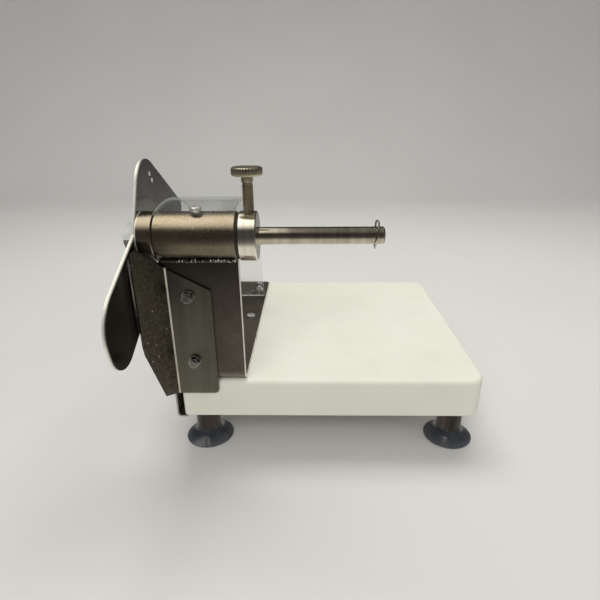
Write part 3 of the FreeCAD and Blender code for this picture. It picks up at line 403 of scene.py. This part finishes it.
def clear_sheet():
    """Clear bent sheet: see-through faces with wipe marks, and bright cut rims."""
    s = Shade("clear_sheet")

    def mix_shaders(factor, first, second):
        mixer = s.new("MixShader")
        for socket, value in zip(mixer.inputs, (factor, first, second)):
            s.put(socket, value)
        return mixer.outputs[0]

    marks = s.most(s.patches(stretch=(90, 1100, 60), bend=1.2, span=(0.70, 0.74)),
                   s.patches(stretch=(900, 70, 70), bend=1.6, span=(0.71, 0.75)))
    wipe = s.patches(stretch=(60, 500, 500), detail=4, rough=0.6, bend=0.7,
                     span=(0.35, 0.7), to=(0.02, 0.10))
    clear = s.node("BsdfTransparent", Color=(0.975, 0.980, 0.975))
    shine = s.node("BsdfGlossy", Color=(1.0, 1.0, 1.0), Roughness=wipe,
                   Normal=s.bumps((marks, 0.12, 0.00005)))
    reflection = s.times(s.node("Fresnel", IOR=1.49), 0.28, clamp=True)
    faces = mix_shaders(reflection, clear, shine)
    # A thin pale veil, stronger in the scratches.
    haze = s.patches(scale=40, detail=4, rough=0.6, span=(0.45, 0.75), to=(0.003, 0.014))
    veil = s.math("ADD", s.times(marks, 0.07), haze)
    faces = mix_shaders(veil, faces, s.node("BsdfDiffuse", Color=(0.80, 0.81, 0.79)))
    # The cut sides carry light along the sheet, so they show brighter and denser than its faces.
    rim_rough = s.patches(stretch=(800, 90, 90), detail=3, rough=0.6,
                          span=(0.3, 0.7), to=(0.22, 0.48))
    rim = s.node("BsdfPrincipled", Base_Color=(0.66, 0.68, 0.65), Roughness=rim_rough,
                 Transmission_Weight=0.35)
    return s.surface(mix_shaders(s.times(s.facing_x(span=(0.6, 0.8)), 0.60), faces, rim))


def cup_material():
    """Glossy elastomer, dark and slightly blue, lighter where the lip is thin."""
    s = Shade("cup_elastomer")
    thin = s.remap(s.axis("Z"), span=(0.0045, 0.0005))
    cloud = s.noise(scale=70, detail=4, rough=0.6)
    colour = s.mix(s.remap(cloud, span=(0.35, 0.65)), (0.024, 0.028, 0.038), (0.045, 0.050, 0.064))
    colour = s.paint(colour, (0.115, 0.120, 0.132), where=thin, amount=0.55)
    dust = s.patches(scale=620, detail=3, rough=0.7, span=(0.60, 0.74))
    colour = s.paint(colour, (0.32, 0.31, 0.29), where=dust, amount=0.16)
    roughness = s.remap(cloud, span=(0.3, 0.7), to=(0.14, 0.27))
    roughness = s.math("ADD", roughness, s.times(dust, 0.18), clamp=True)
    ripple = s.noise(scale=240, detail=3, rough=0.6)
    return s.finish(Base_Color=colour, Roughness=roughness, Normal=s.bumps((ripple, 0.08, 0.0002)),
                    IOR=1.5, Coat_Weight=0.35, Coat_Roughness=0.12)


def weld_material():
    """Heat-tinted weld metal with soot, and painted highlights on the ripple crown, none at the
    shaded left end.
    """
    s = Shade("weld_bead")
    heat = s.noise(scale=120, detail=3, rough=0.6)
    colour = s.ramp(heat, [(0.30, (0.10, 0.078, 0.055)), (0.46, (0.16, 0.14, 0.11)),
                           (0.58, (0.12, 0.11, 0.11)), (0.72, (0.26, 0.24, 0.20))])
    soot = s.patches(scale=300, detail=3, rough=0.6, span=(0.55, 0.70))
    colour = s.paint(colour, (0.05, 0.042, 0.035), where=soot, amount=0.5)
    # The painted crown highlights are broken up at random, with none towards the left end, which
    # lies in shade.
    crown_highlights = s.times(s.patches(stretch=(1000, 420, 420), rough=0.6, span=(0.555, 0.61)),
                     s.remap(s.axis("X"), span=(-0.100, -0.092)))
    colour = s.paint(colour, (0.86, 0.83, 0.75), where=crown_highlights, amount=0.85)
    grain = s.noise(scale=1500, detail=3, rough=0.6)
    return s.finish(Base_Color=colour,
                    Metallic=s.remap(crown_highlights, span=(0.0, 1.0), to=(1.0, 0.25)),
                    Roughness=s.remap(heat, span=(0.3, 0.7), to=(0.24, 0.44)),
                    Normal=s.bumps((grain, 0.25, 0.0001)))


def bracket_sheet():
    """Satin folded sheet with a spattered wing on the left painted darker as shade, painted light
    and shade on the wing's sheared sides, and a painted highlight along the bend line.
    """
    s = Shade("folded_sheet")
    x = s.axis("X")
    upright_streaks = s.noise(stretch=(95, 95, 5), detail=3, rough=0.55)
    hair = s.noise(stretch=(2600, 2600, 60), rough=0.6)
    body = s.blend(upright_streaks, s.noise(scale=30, detail=4, rough=0.6), share=0.35)
    colour = s.mix(s.remap(body, span=(0.36, 0.64)), (0.150, 0.143, 0.112), (0.235, 0.222, 0.180))
    # The wing on the left is painted darker and mottled, as shade on the same sheet.
    wing = s.remap(x, span=(-0.1044, -0.1049))
    mottle = s.noise(scale=380, detail=4, rough=0.7)
    dark = s.mix(s.remap(mottle, span=(0.35, 0.70)), (0.085, 0.076, 0.056), (0.185, 0.166, 0.128))
    colour = s.mix(wing, colour, dark)
    spatter = s.times(s.dots(scale=250, span=(0.17, 0.09)), s.patches(scale=75, span=(0.50, 0.55)))
    colour = s.paint(colour, (0.85, 0.82, 0.74), where=spatter, amount=s.times(wing, 0.75))
    # Sheared sides of the wing: the upright one painted dark as shade with a few painted glints
    # high up, the lower ones painted bright as a reflection.
    shear_normal = (-0.5446, -0.8387, 0.0)
    facing = s.vector_math("DOT_PRODUCT", s.normal, shear_normal)
    upright = s.times(s.remap(facing, span=(0.80, 0.92)), wing)
    lower = s.times(s.remap(s.axis("Z", s.normal), span=(-0.25, -0.40)), wing)
    colour = s.mix(upright, colour, (0.110, 0.100, 0.080))
    glints = s.times(upright, s.patches(stretch=(40, 40, 170), detail=3, rough=0.6,
                                        span=(0.56, 0.66)))
    glints = s.times(glints, s.remap(s.axis("Z"), span=(0.150, 0.160)))
    shine = s.most(glints, lower)
    colour = s.mix(shine, colour, (0.86, 0.84, 0.76))
    breaks = s.patches(scale=300, detail=3, rough=0.7, span=(0.40, 0.70), to=(0.0, 0.55))
    chips = s.times(s.edge_mask(radius=0.00035), breaks, clamp=True)
    colour = s.mix(chips, colour, (0.50, 0.48, 0.42))
    # A painted highlight along the bend line, broken up along its length.
    bend_x = -0.10425
    off_bend = s.math("ABSOLUTE", s.math("ADD", x, -bend_x))
    bend_line = s.times(s.remap(off_bend, span=(0.00075, 0.00035)),
                        s.patches(stretch=(200, 200, 60), span=(0.2, 0.5), to=(0.65, 1.0)))
    colour = s.mix(bend_line, colour, (0.74, 0.70, 0.61))
    roughness = s.remap(body, span=(0.34, 0.66), to=(0.24, 0.40))
    roughness = s.math("ADD", roughness, s.times(wing, 0.14), clamp=True)
    roughness = s.most(roughness, s.times(bend_line, 0.55))
    return s.finish(
        Base_Color=colour, Roughness=roughness, Anisotropic=0.35,
        Metallic=s.remap(s.most(bend_line, shine), span=(0.0, 1.0), to=(1.0, 0.30)),
        Normal=s.bumps((hair, 0.06, 0.00004), (s.times(mottle, wing), 0.20, 0.00012)))


def floor_material():
    s = Shade("pale_floor")
    pale = (0.66, 0.655, 0.645)
    cloud = s.patches(scale=3.0, detail=3, span=(0.35, 0.65))
    return s.finish(Base_Color=s.mix(cloud, pale, tuple(c * 0.97 for c in pale)),
                    Roughness=0.62, Normal=s.bumps((s.noise(scale=300), 0.02, 0.0004)))


MATERIALS = {
    "board": board_plastic(),
    # The channel is painted darker towards its top, as shade under the tube, and its flat floor is
    # painted lighter, as a reflection. A painted highlight band runs along its right edge, and its
    # bright chipped edges fade out at the top, where shade falls.
    "channel": mottled_steel(
        "rolled_sheet", dark=(0.105, 0.090, 0.074), mid=(0.170, 0.149, 0.124),
        light=(0.260, 0.232, 0.196), rough=(0.36, 0.56), edge=(0.50, 0.47, 0.40),
        band_x=(-0.05375, -0.0528), band_colour=(0.88, 0.85, 0.76),
        chip_and_sheen_z=(0.150, 0.156), chip_and_sheen_to=(0.7, 0.0),
        tints=[((0.105, 0.158), 0.62, (0.030, 0.024, 0.019)),
               ((0.0700, 0.0685), 0.42, (0.440, 0.405, 0.340))]),
    # The tube turns darker brown towards its lower side and the weld. Its bright chipped edges
    # keep to its top, where they are partly a painted highlight.
    "tube": mottled_steel(
        "drawn_tube", dark=(0.230, 0.178, 0.120), mid=(0.410, 0.345, 0.255),
        light=(0.640, 0.560, 0.435), rough=(0.20, 0.38), fine=640, edge_radius=0.0004,
        chip_and_sheen_z=(0.162, 0.172), chip_and_sheen_to=(0.0, 1.0), glint=0.7,
        tints=[((0.1790, 0.1700), 0.66, (0.055, 0.043, 0.030))]),
    # The hub's bright chipped edges keep to its top, partly as a painted highlight, and a painted
    # highlight band runs round its left end.
    "hub": mottled_steel(
        "lever_hub", dark=(0.290, 0.240, 0.175), mid=(0.410, 0.350, 0.265),
        light=(0.550, 0.485, 0.385), rough=(0.22, 0.36), fine=1300, edge_radius=0.0004,
        chip_and_sheen_z=(0.166, 0.176), chip_and_sheen_to=(0.0, 1.0), glint=0.3,
        band_x=(-0.12011, -0.1195), band_colour=(0.90, 0.88, 0.82)),
    "bracket": bracket_sheet(),
    "side": side_sheet(),
    "collar": turned_steel(
        "turned_collar", dark=(0.700, 0.655, 0.555), light=(0.880, 0.840, 0.740),
        rough=(0.13, 0.22)),
    "shaft": shaft_material(),
    "screw": turned_steel(
        "nickel_screw", dark=(0.520, 0.460, 0.335), light=(0.700, 0.640, 0.500),
        rough=(0.30, 0.44), aniso=0.0, rings=2200, ring=(0.02, 0.02, 1), deep=0.08,
        edge=(0.82, 0.77, 0.62)),
    # The near-white edges of the nuts and bolts are painted highlights, kept bright by a low
    # metallic value.
    "fastener": turned_steel(
        "bright_fastener", dark=(0.170, 0.163, 0.142), light=(0.380, 0.370, 0.335),
        rough=(0.10, 0.22), aniso=0.0, rings=2000, ring=(0.3, 0.3, 0.3), deep=0.06,
        edge=(0.97, 0.96, 0.92), edge_radius=0.00028, metal=(1.0, 0.20)),
    # The near-white edges of the plated screws are painted highlights, kept bright by a low
    # metallic value.
    "zinc": turned_steel(
        "zinc_screw", dark=(0.620, 0.610, 0.570), light=(0.820, 0.810, 0.765),
        rough=(0.14, 0.26), aniso=0.0, rings=2000, ring=(0.3, 0.3, 0.3), deep=0.06,
        edge=(0.98, 0.97, 0.94), edge_radius=0.00040, metal=(0.65, 0.30)),
    "wire": turned_steel(
        "clip_wire", dark=(0.460, 0.430, 0.380), light=(0.640, 0.610, 0.540),
        rough=(0.20, 0.32), rings=1800, ring=(0.5, 0.5, 0.05), deep=0.05),
    "leg": turned_steel(
        "brushed_leg", dark=(0.052, 0.045, 0.039), light=(0.112, 0.098, 0.084),
        rough=(0.24, 0.38), rings=1500, ring=(1, 1, 0.02), deep=0.14, blotch=0.2),
    "plate": plate_steel(),
    "black": bearing_black(),
    "clear": clear_sheet(),
    "cup": cup_material(),
    "weld": weld_material(),
}

# Material of each CAD piece; any piece not listed is a fastener.
FINISH = {
    "cutting_board": "board", "channel_frame": "channel", "bearing_tube": "tube",
    "tube_weld": "weld", "left_bush": "black", "right_bush": "black", "lever_hub": "hub",
    "lever_plate": "plate", "shaft_bolt": "shaft", "end_clip": "wire", "lock_collar": "collar",
    "thumb_screw": "screw", "clear_guard": "clear", "guard_bracket": "clear",
    "guard_top_screw": "zinc", "guard_screws": "zinc", "front_guard_bracket": "bracket",
    "side_plate": "side", "floor_screws": "zinc", "foot_legs": "leg", "suction_cups": "cup",
}
for name, cad_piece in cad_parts.items():
    cad_piece.data.materials.clear()
    cad_piece.data.materials.append(MATERIALS[FINISH.get(name, "fastener")])


# ---------------------------------------------------------------- mesh helpers
def piece(name, verts, faces, *, material, body, replaces, smooth):
    """A smooth-shaded mesh, sharp above the angle smooth, in place of a CAD piece."""
    mesh = bpy.data.meshes.new(name)
    mesh.from_pydata(verts, [], faces)
    mesh.validate()
    bm = bmesh.new()
    bm.from_mesh(mesh)
    bmesh.ops.remove_doubles(bm, verts=bm.verts, dist=1e-7)
    bmesh.ops.recalc_face_normals(bm, faces=bm.faces)
    bm.to_mesh(mesh)
    bm.free()
    made = bpy.data.objects.new(name, mesh)
    bpy.context.scene.collection.objects.link(made)
    mesh.materials.append(MATERIALS[material])
    for polygon in mesh.polygons:
        polygon.use_smooth = True
    mesh.set_sharp_from_angle(angle=math.radians(smooth))
    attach(made, body)
    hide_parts(replaces)


def angles(segments):
    return [2 * math.pi * i / segments for i in range(segments)]


def add_ring(verts, points):
    """Adds points and returns their indices."""
    start = len(verts)
    verts.extend(points)
    return range(start, len(verts))


def circle(centre, radius, z, segments):
    return [(centre[0] + radius * math.cos(a), centre[1] + radius * math.sin(a), z)
            for a in angles(segments)]


def skin(first, second):
    """Faces between two rings of indices; a ring of one is a centre point."""
    count = max(len(first), len(second))
    faces = []
    for i in range(count):
        j = (i + 1) % count
        if len(first) == 1:
            faces.append((first[0], second[j], second[i]))
        elif len(second) == 1:
            faces.append((first[i], first[j], second[0]))
        else:
            faces.append((first[i], first[j], second[j], second[i]))
    return faces


def skin_all(rings):
    return [face for pair in zip(rings, rings[1:]) for face in skin(*pair)]


def turned(profile, centre, segments, wobble, widen=1.0):
    """Turns a profile of (radius, height) in mm about a vertical line.

    wobble(radius, height, angle) gives the radial and vertical offset in mm.
    """
    verts = []
    rings = []
    for radius, height in profile:
        if radius < 1e-9:
            points = [(centre[0], centre[1], centre[2] + height * MM)]
        else:
            points = []
            for a in angles(segments):
                out, up = wobble(radius, height, a)
                r = radius * MM * widen + out * MM
                points.append((centre[0] + r * math.cos(a), centre[1] + r * math.sin(a),
                               centre[2] + height * MM + up * MM))
        rings.append(add_ring(verts, points))
    return verts, skin_all(rings)


def spline(points, per):
    """Catmull-Rom through 2-D points, ends held, with per steps to a span."""
    curve = []
    last = len(points) - 1
    for i in range(last):
        span = (points[max(i - 1, 0)], points[i], points[i + 1], points[min(i + 2, last)])
        for k in range(per):
            t = k / per
            curve.append(tuple(
                0.5 * (2 * b + (c - a) * t + (2 * a - 5 * b + 4 * c - d) * t * t
                       + (3 * b - a - 3 * c + d) * t ** 3)
                for a, b, c, d in zip(*span)))
    curve.append(points[-1])
    return curve


# ---------------------------------------------------------------- suction cups
# Profile parts as (radius, height) in mm, from the top centre round the lip to the inner centre.
CUP_CROWN = [(0.0, 14.45), (4.9, 14.45), (5.6, 14.3), (6.1, 13.8), (6.2, 13.1), (6.2, 10.25),
             (6.45, 10.02), (9.2, 10.0)]
CUP_OUTER = [(9.6, 10.0), (10.0, 9.55), (10.35, 8.6), (10.9, 7.3), (11.9, 5.9), (13.7, 4.4),
             (16.0, 2.9), (18.1, 1.75), (19.1, 1.25)]
CUP_LIP = [(19.33, 1.08), (19.4, 0.85), (19.36, 0.62), (19.2, 0.42), (18.95, 0.22),
           (18.6, 0.06), (18.2, 0.0)]
CUP_INNER = [(17.4, 0.0), (16.6, 0.12), (15.4, 0.75), (13.8, 1.75), (11.8, 2.75), (9.2, 3.9),
             (5.5, 4.75), (0.0, 5.0)]
CUP_RADIUS = 19.4
SAG_RADIUS = 12.0  # mm; the skirt is uneven outside this
SAG_FLOOR = 0.35  # mm; the skirt stays flat below this
SAG_OUT, SAG_UP = 0.10, 0.09  # mm at the lip
LIP_RADIUS, LIP_SHARE = 19.0, 0.3  # the lip takes only this share of the radial sag


def suction_cup(name, x, y):
    phase = random.random() * 6.28

    def sag(radius, height, angle):
        if height <= SAG_FLOOR:
            return 0.0, 0.0
        lift = max(0.0, (radius - SAG_RADIUS) / (CUP_RADIUS - SAG_RADIUS))
        share = 1.0 if radius < LIP_RADIUS else LIP_SHARE
        return (SAG_OUT * lift * math.sin(2 * angle + phase) * share,
                SAG_UP * lift * math.sin(3 * angle + phase * 2))

    profile = CUP_CROWN + spline(CUP_OUTER, per=6) + CUP_LIP + spline(CUP_INNER, per=5)
    verts, faces = turned(profile, (x, y, 0.0), 96, sag)
    piece(name, verts, faces, material="cup", body="frame",
          replaces="suction_cups", smooth=50)


cups_lo, cups_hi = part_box("suction_cups")
for row, y in (("front", cups_lo.y + CUP_RADIUS * MM), ("rear", cups_hi.y - CUP_RADIUS * MM)):
    for side, x in (("left", cups_lo.x + CUP_RADIUS * MM), ("right", cups_hi.x - CUP_RADIUS * MM)):
        suction_cup(f"suction_cup_{row}_{side}", x, y)


# ---------------------------------------------------------------- thumb screw
THREAD_CREST = 3.85 * MM
THREAD_ROOT = 3.15 * MM
PITCH = 1.25 * MM
RUN_OUT = PITCH * 1.2  # length over which the thread fades at each end
FLANK_START, FLANK_RISE = 0.10, 0.72  # root flat and flank, as shares of half a pitch
ROWS_PER_PITCH = 10
STEM_SEGMENTS = 40
TIP_RADIUS = 1.9 * MM
TIP_CHAMFER = 0.6 * MM
NECK_LENGTH = 4.4 * MM
HEAD_HEIGHT = 5.8 * MM
# (radius, height under the head) in mm
NECK = [(3.3, -4.2), (3.85, -3.95), (3.95, -3.7), (3.95, -0.3), (4.2, 0.0)]

screw_lo, screw_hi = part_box("thumb_screw")
screw_axis = ((screw_lo.x + screw_hi.x) / 2, (screw_lo.y + screw_hi.y) / 2)
under_head = screw_hi.z - HEAD_HEIGHT


def thread_rings(verts, low, high):
    """Rings of a helical thread between two heights."""
    rows = int((high - low) / PITCH * ROWS_PER_PITCH)
    rings = []
    for row in range(rows + 1):
        z = low + (high - low) * row / rows
        fade = max(0.0, min(1.0, (z - low) / RUN_OUT, (high - z) / RUN_OUT))
        points = []
        for i, a in enumerate(angles(STEM_SEGMENTS)):
            turn = ((z - low) / PITCH - i / STEM_SEGMENTS) % 1.0
            triangle = 1 - abs(2 * turn - 1)
            rise = min(1.0, max(0.0, (triangle - FLANK_START) / FLANK_RISE))
            r = THREAD_ROOT + (THREAD_CREST - THREAD_ROOT) * rise * fade
            points.append((screw_axis[0] + r * math.cos(a), screw_axis[1] + r * math.sin(a), z))
        rings.append(add_ring(verts, points))
    return rings


def screw_stem():
    """Threaded stem, closed by a flat tip below and a plain neck above."""
    tip = screw_lo.z
    verts = []
    thread = thread_rings(verts, tip + TIP_CHAMFER, under_head - NECK_LENGTH)
    tip_ring = add_ring(verts, circle(screw_axis, TIP_RADIUS, tip, STEM_SEGMENTS))
    tip_centre = add_ring(verts, [(*screw_axis, tip)])
    neck = [add_ring(verts, circle(screw_axis, r * MM, under_head + z * MM, STEM_SEGMENTS))
            for r, z in NECK]
    neck_centre = add_ring(verts, [(*screw_axis, under_head)])
    faces = (skin_all(thread) + skin_all([thread[0], tip_ring, tip_centre])
             + skin_all([thread[-1], *neck, neck_centre]))
    piece("thumb_screw_stem", verts, faces, material="screw", body="knob",
          replaces="thumb_screw", smooth=35)


TEETH = 32
HEAD_RADIUS = 10.4  # mm, before the profile is widened to the CAD head
# (radius, height over the underside) in mm, from the bottom centre to the top centre
HEAD = [(0.0, 0.0), (5.2, 0.0), (8.6, 0.02), (9.45, 0.12), (9.9, 0.55), (10.28, 0.95),
        (10.4, 1.3), (10.4, 4.5), (10.28, 4.85), (9.9, 5.25), (9.4, 5.62), (9.0, 5.75),
        (8.6, 5.70), (8.3, 5.52), (7.6, 5.50), (3.0, 5.50), (0.0, 5.50)]
KNURL_START = 9.8  # mm; no grooves inside this radius
KNURL_DEPTH = 0.55  # mm
KNURL_ZERO, KNURL_RAMP = 9.6, 0.7  # mm; radius of no depth, and the run to full depth
KNURL_SLOPE = 1.75  # steepness of the groove sides


def knurl(radius, height, angle):
    if radius < KNURL_START:
        return 0.0, 0.0
    depth = KNURL_DEPTH * min(1.0, (radius - KNURL_ZERO) / KNURL_RAMP)
    turn = (angle * TEETH / (2 * math.pi)) % 1.0
    cut = max(0.0, 1 - abs(2 * turn - 1) * KNURL_SLOPE)
    return -depth * cut, 0.0


def screw_head():
    widen = (screw_hi.x - screw_lo.x) / 2 / (HEAD_RADIUS * MM)
    verts, faces = turned(HEAD, (*screw_axis, under_head), TEETH * 8, knurl, widen)
    piece("thumb_screw_head", verts, faces, material="screw", body="knob",
          replaces="thumb_screw", smooth=28)


screw_stem()
screw_head()


# ---------------------------------------------------------------- weld beads (all in mm)
RIPPLE_PITCH = 1.35
RIPPLE_HEIGHT = 0.26  # share of the bead's radius
RIPPLE_LAG = 0.30  # how far the crown leads the sides along X
BEAD_STEP = 0.12
BEAD_SEGMENTS = 22
BEAD_INSET = 0.3  # from each end of the CAD weld
END_LENGTH = 1.2  # rounded run at each end
END_SIZE = 0.25  # share of the radius left at the very end


def weld_bead(name, start, end, centre, radius, tilt, seed):
    """Overlapping weld ripples along X, with a rounded crown that faces along tilt (Y, Z)."""
    rng = random.Random(seed)
    rows = int((end - start) / BEAD_STEP)
    out = Vector((0, tilt[0], tilt[1])).normalized()
    across = Vector((0, -out.z, out.y))
    sizes = [rng.uniform(0.82, 1.12) for _ in range(int((end - start) / RIPPLE_PITCH) + 3)]
    shifts = [rng.uniform(-0.16, 0.16) for _ in sizes]
    verts = []
    rings = []
    for row in range(rows + 1):
        x = start + (end - start) * row / rows
        along = (x - start) / RIPPLE_PITCH
        i = int(along)
        t = along - i
        size = sizes[i] * (1 - t) + sizes[i + 1] * t
        shift = shifts[i] * (1 - t) + shifts[i + 1] * t
        wave = abs(math.sin(math.pi * (along + 0.12 * math.sin(along * 1.7))))
        ripple = 1.0 + RIPPLE_HEIGHT * (wave - 0.5)
        near_end = min(1.0, (x - start) / END_LENGTH, (end - x) / END_LENGTH)
        rounding = math.sqrt(max(0.0, 1 - (1 - near_end) ** 2))
        row_radius = radius * size * (END_SIZE + (1 - END_SIZE) * rounding)
        points = []
        for a in angles(BEAD_SEGMENTS):
            # The crown side carries the ripple; the buried side is flattened.
            u = math.cos(a) * row_radius * (0.80 + 0.20 * ripple)
            u *= ripple if u > 0 else 0.75
            w = math.sin(a) * row_radius * 1.15
            lag = RIPPLE_LAG * (1 - abs(math.sin(a))) if 0 < row < rows else 0.0
            p = Vector((x + lag, 0, 0)) + out * u + across * (w + shift)
            points.append((p.x * MM, (centre[0] + p.y) * MM, (centre[1] + p.z) * MM))
        rings.append(add_ring(verts, points))
    faces = skin_all(rings)
    for ring in (rings[0], rings[-1]):
        middle = tuple(sum(verts[i][k] for i in ring) / BEAD_SEGMENTS for k in range(3))
        faces += skin(ring, add_ring(verts, [middle]))
    piece(name, verts, faces, material="weld", body="frame",
          replaces="tube_weld", smooth=60)


weld_lo, weld_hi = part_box("tube_weld")
# name, centre (y, z), radius, tilt (y, z), seed
for name, centre, radius, tilt, seed in (
    ("weld_bead_front", (-77.75, 160.15), 1.15, (-0.80, -0.35), 3),
    ("weld_bead_rear", (-74.4, 159.6), 1.25, (0.8, -0.5), 5),
):
    weld_bead(name, weld_lo.x / MM + BEAD_INSET, weld_hi.x / MM - BEAD_INSET,
              centre, radius, tilt, seed)


# ---------------------------------------------------------------- stage
FLOOR_FRONT, FLOOR_REAR = -2.2, 1.1
FLOOR_HALF_WIDTH = 6.0
SWEEP_RADIUS, SWEEP_STEPS = 0.8, 12
WALL_TOP = 2.6


def floor_sweep():
    """A floor that curves up into a rear wall."""
    outline = [(FLOOR_FRONT, 0.0)]
    for k in range(SWEEP_STEPS + 1):
        a = math.pi / 2 * k / SWEEP_STEPS
        outline.append((FLOOR_REAR + SWEEP_RADIUS * math.sin(a),
                        SWEEP_RADIUS - SWEEP_RADIUS * math.cos(a)))
    outline.append((FLOOR_REAR + SWEEP_RADIUS, WALL_TOP))
    verts = [(x, y, z) for y, z in outline for x in (-FLOOR_HALF_WIDTH, FLOOR_HALF_WIDTH)]
    faces = [(2 * i, 2 * i + 1, 2 * i + 3, 2 * i + 2) for i in range(len(outline) - 1)]
    mesh = bpy.data.meshes.new("floor_sweep")
    mesh.from_pydata(verts, [], faces)
    floor = bpy.data.objects.new("floor_sweep", mesh)
    bpy.context.scene.collection.objects.link(floor)
    mesh.materials.append(floor_material())
    for polygon in mesh.polygons:
        polygon.use_smooth = True
    floor.visible_glossy = False


floor_sweep()


# ---------------------------------------------------------------- world
# What reflections see, as (height from 0 straight down to 1 straight up, colour).
FRONT_SKY = [
    (0.0, (0.78, 0.76, 0.70)), (0.17, (0.74, 0.72, 0.66)), (0.25, (0.40, 0.385, 0.35)),
    (0.33, (0.17, 0.163, 0.148)), (0.50, (0.060, 0.057, 0.052)), (0.80, (0.050, 0.048, 0.045)),
    (0.92, (0.16, 0.155, 0.146)), (1.0, (0.22, 0.215, 0.205))]
REAR_SKY = [
    (0.0, (0.72, 0.70, 0.65)), (0.22, (0.42, 0.41, 0.385)), (0.38, (0.30, 0.292, 0.28)),
    (0.44, (0.20, 0.195, 0.187)), (0.50, (0.070, 0.068, 0.065)), (0.85, (0.060, 0.058, 0.056)),
    (0.93, (0.24, 0.235, 0.225)), (1.0, (0.24, 0.235, 0.225))]
LAMP_COLOUR = (2.05, 1.96, 1.78)
PLAIN_SKY = (0.50, 0.495, 0.48)  # what every other ray sees


def studio_world():
    world = bpy.data.worlds.new("studio")
    bpy.context.scene.world = world
    world.use_nodes = True
    w = Nodes(world.node_tree, "Generated")
    direction = w.new("SeparateXYZ")
    w.put(direction.inputs[0], w.place)
    x, y, z = direction.outputs
    height = w.remap(z, span=(-1.0, 1.0))
    sky = w.mix(w.remap(y, span=(-0.20, 0.30)), w.ramp(height, FRONT_SKY),
                w.ramp(height, REAR_SKY))
    # A wide lamp overhead, to the left: seen by the tube, hub and collar, not by the shaft.
    glow = w.times(w.remap(z, span=(0.62, 1.00), smooth=True),
                   w.remap(x, span=(-0.03, -0.13), smooth=True))
    sky = w.mix(glow, sky, LAMP_COLOUR)
    glossy_ray = w.new("LightPath").outputs["Is Glossy Ray"]
    background = w.node("Background", Color=w.mix(glossy_ray, PLAIN_SKY, sky))
    w.put(w.new("OutputWorld").inputs["Surface"], background)


studio_world()


# ---------------------------------------------------------------- lights
LIGHT_COLOUR = (1.0, 0.975, 0.93)
# name, place, target, size (width, height), watts
for name, place, target, size, watts in (
    ("softbox_top", (0.06, 0.42, 1.30), (0.0, 0.02, 0.1), (1.1, 0.55), 10.8),
    ("softbox_front", (-0.35, -1.15, 1.05), (0.0, 0.0, 0.08), (0.8, 0.5), 6.3),
    ("fill_right", (1.2, -0.4, 0.6), (0.0, 0.0, 0.1), (0.6, 0.8), 2.0),
):
    data = bpy.data.lights.new(name, "AREA")
    data.shape = "RECTANGLE"
    data.size, data.size_y = size
    data.energy = watts
    data.color = LIGHT_COLOUR
    light = bpy.data.objects.new(name, data)
    bpy.context.scene.collection.objects.link(light)
    light.location = place
    light.rotation_mode = "QUATERNION"
    light.rotation_quaternion = (Vector(target) - Vector(place)).to_track_quat("-Z", "Y")
    light.visible_glossy = False


# ---------------------------------------------------------------- camera
CAMERA_PLACE = (-0.0050, -0.37195, 0.2505)
CAMERA_FORWARD = (-0.0205, 0.9267, -0.3753)
CAMERA_RIGHT = (0.9998, 0.0187, -0.0086)  # squared up to the forward direction below

camera_data = bpy.data.cameras.new("view")
camera = bpy.data.objects.new("view", camera_data)
bpy.context.scene.collection.objects.link(camera)
forward = Vector(CAMERA_FORWARD).normalized()
right = Vector(CAMERA_RIGHT)
right = (right - forward * right.dot(forward)).normalized()
up = right.cross(forward)
camera.matrix_world = Matrix(
    [(*row, 0) for row in (right, up, -forward)] + [(*CAMERA_PLACE, 1)]).transposed()
camera_data.lens = 27.06
camera_data.sensor_width = 36.0
camera_data.clip_start = 0.01
camera_data.clip_end = 20.0

scene = bpy.context.scene
scene.camera = camera
scene.view_settings.view_transform = "Standard"
scene.view_settings.exposure = 0.0
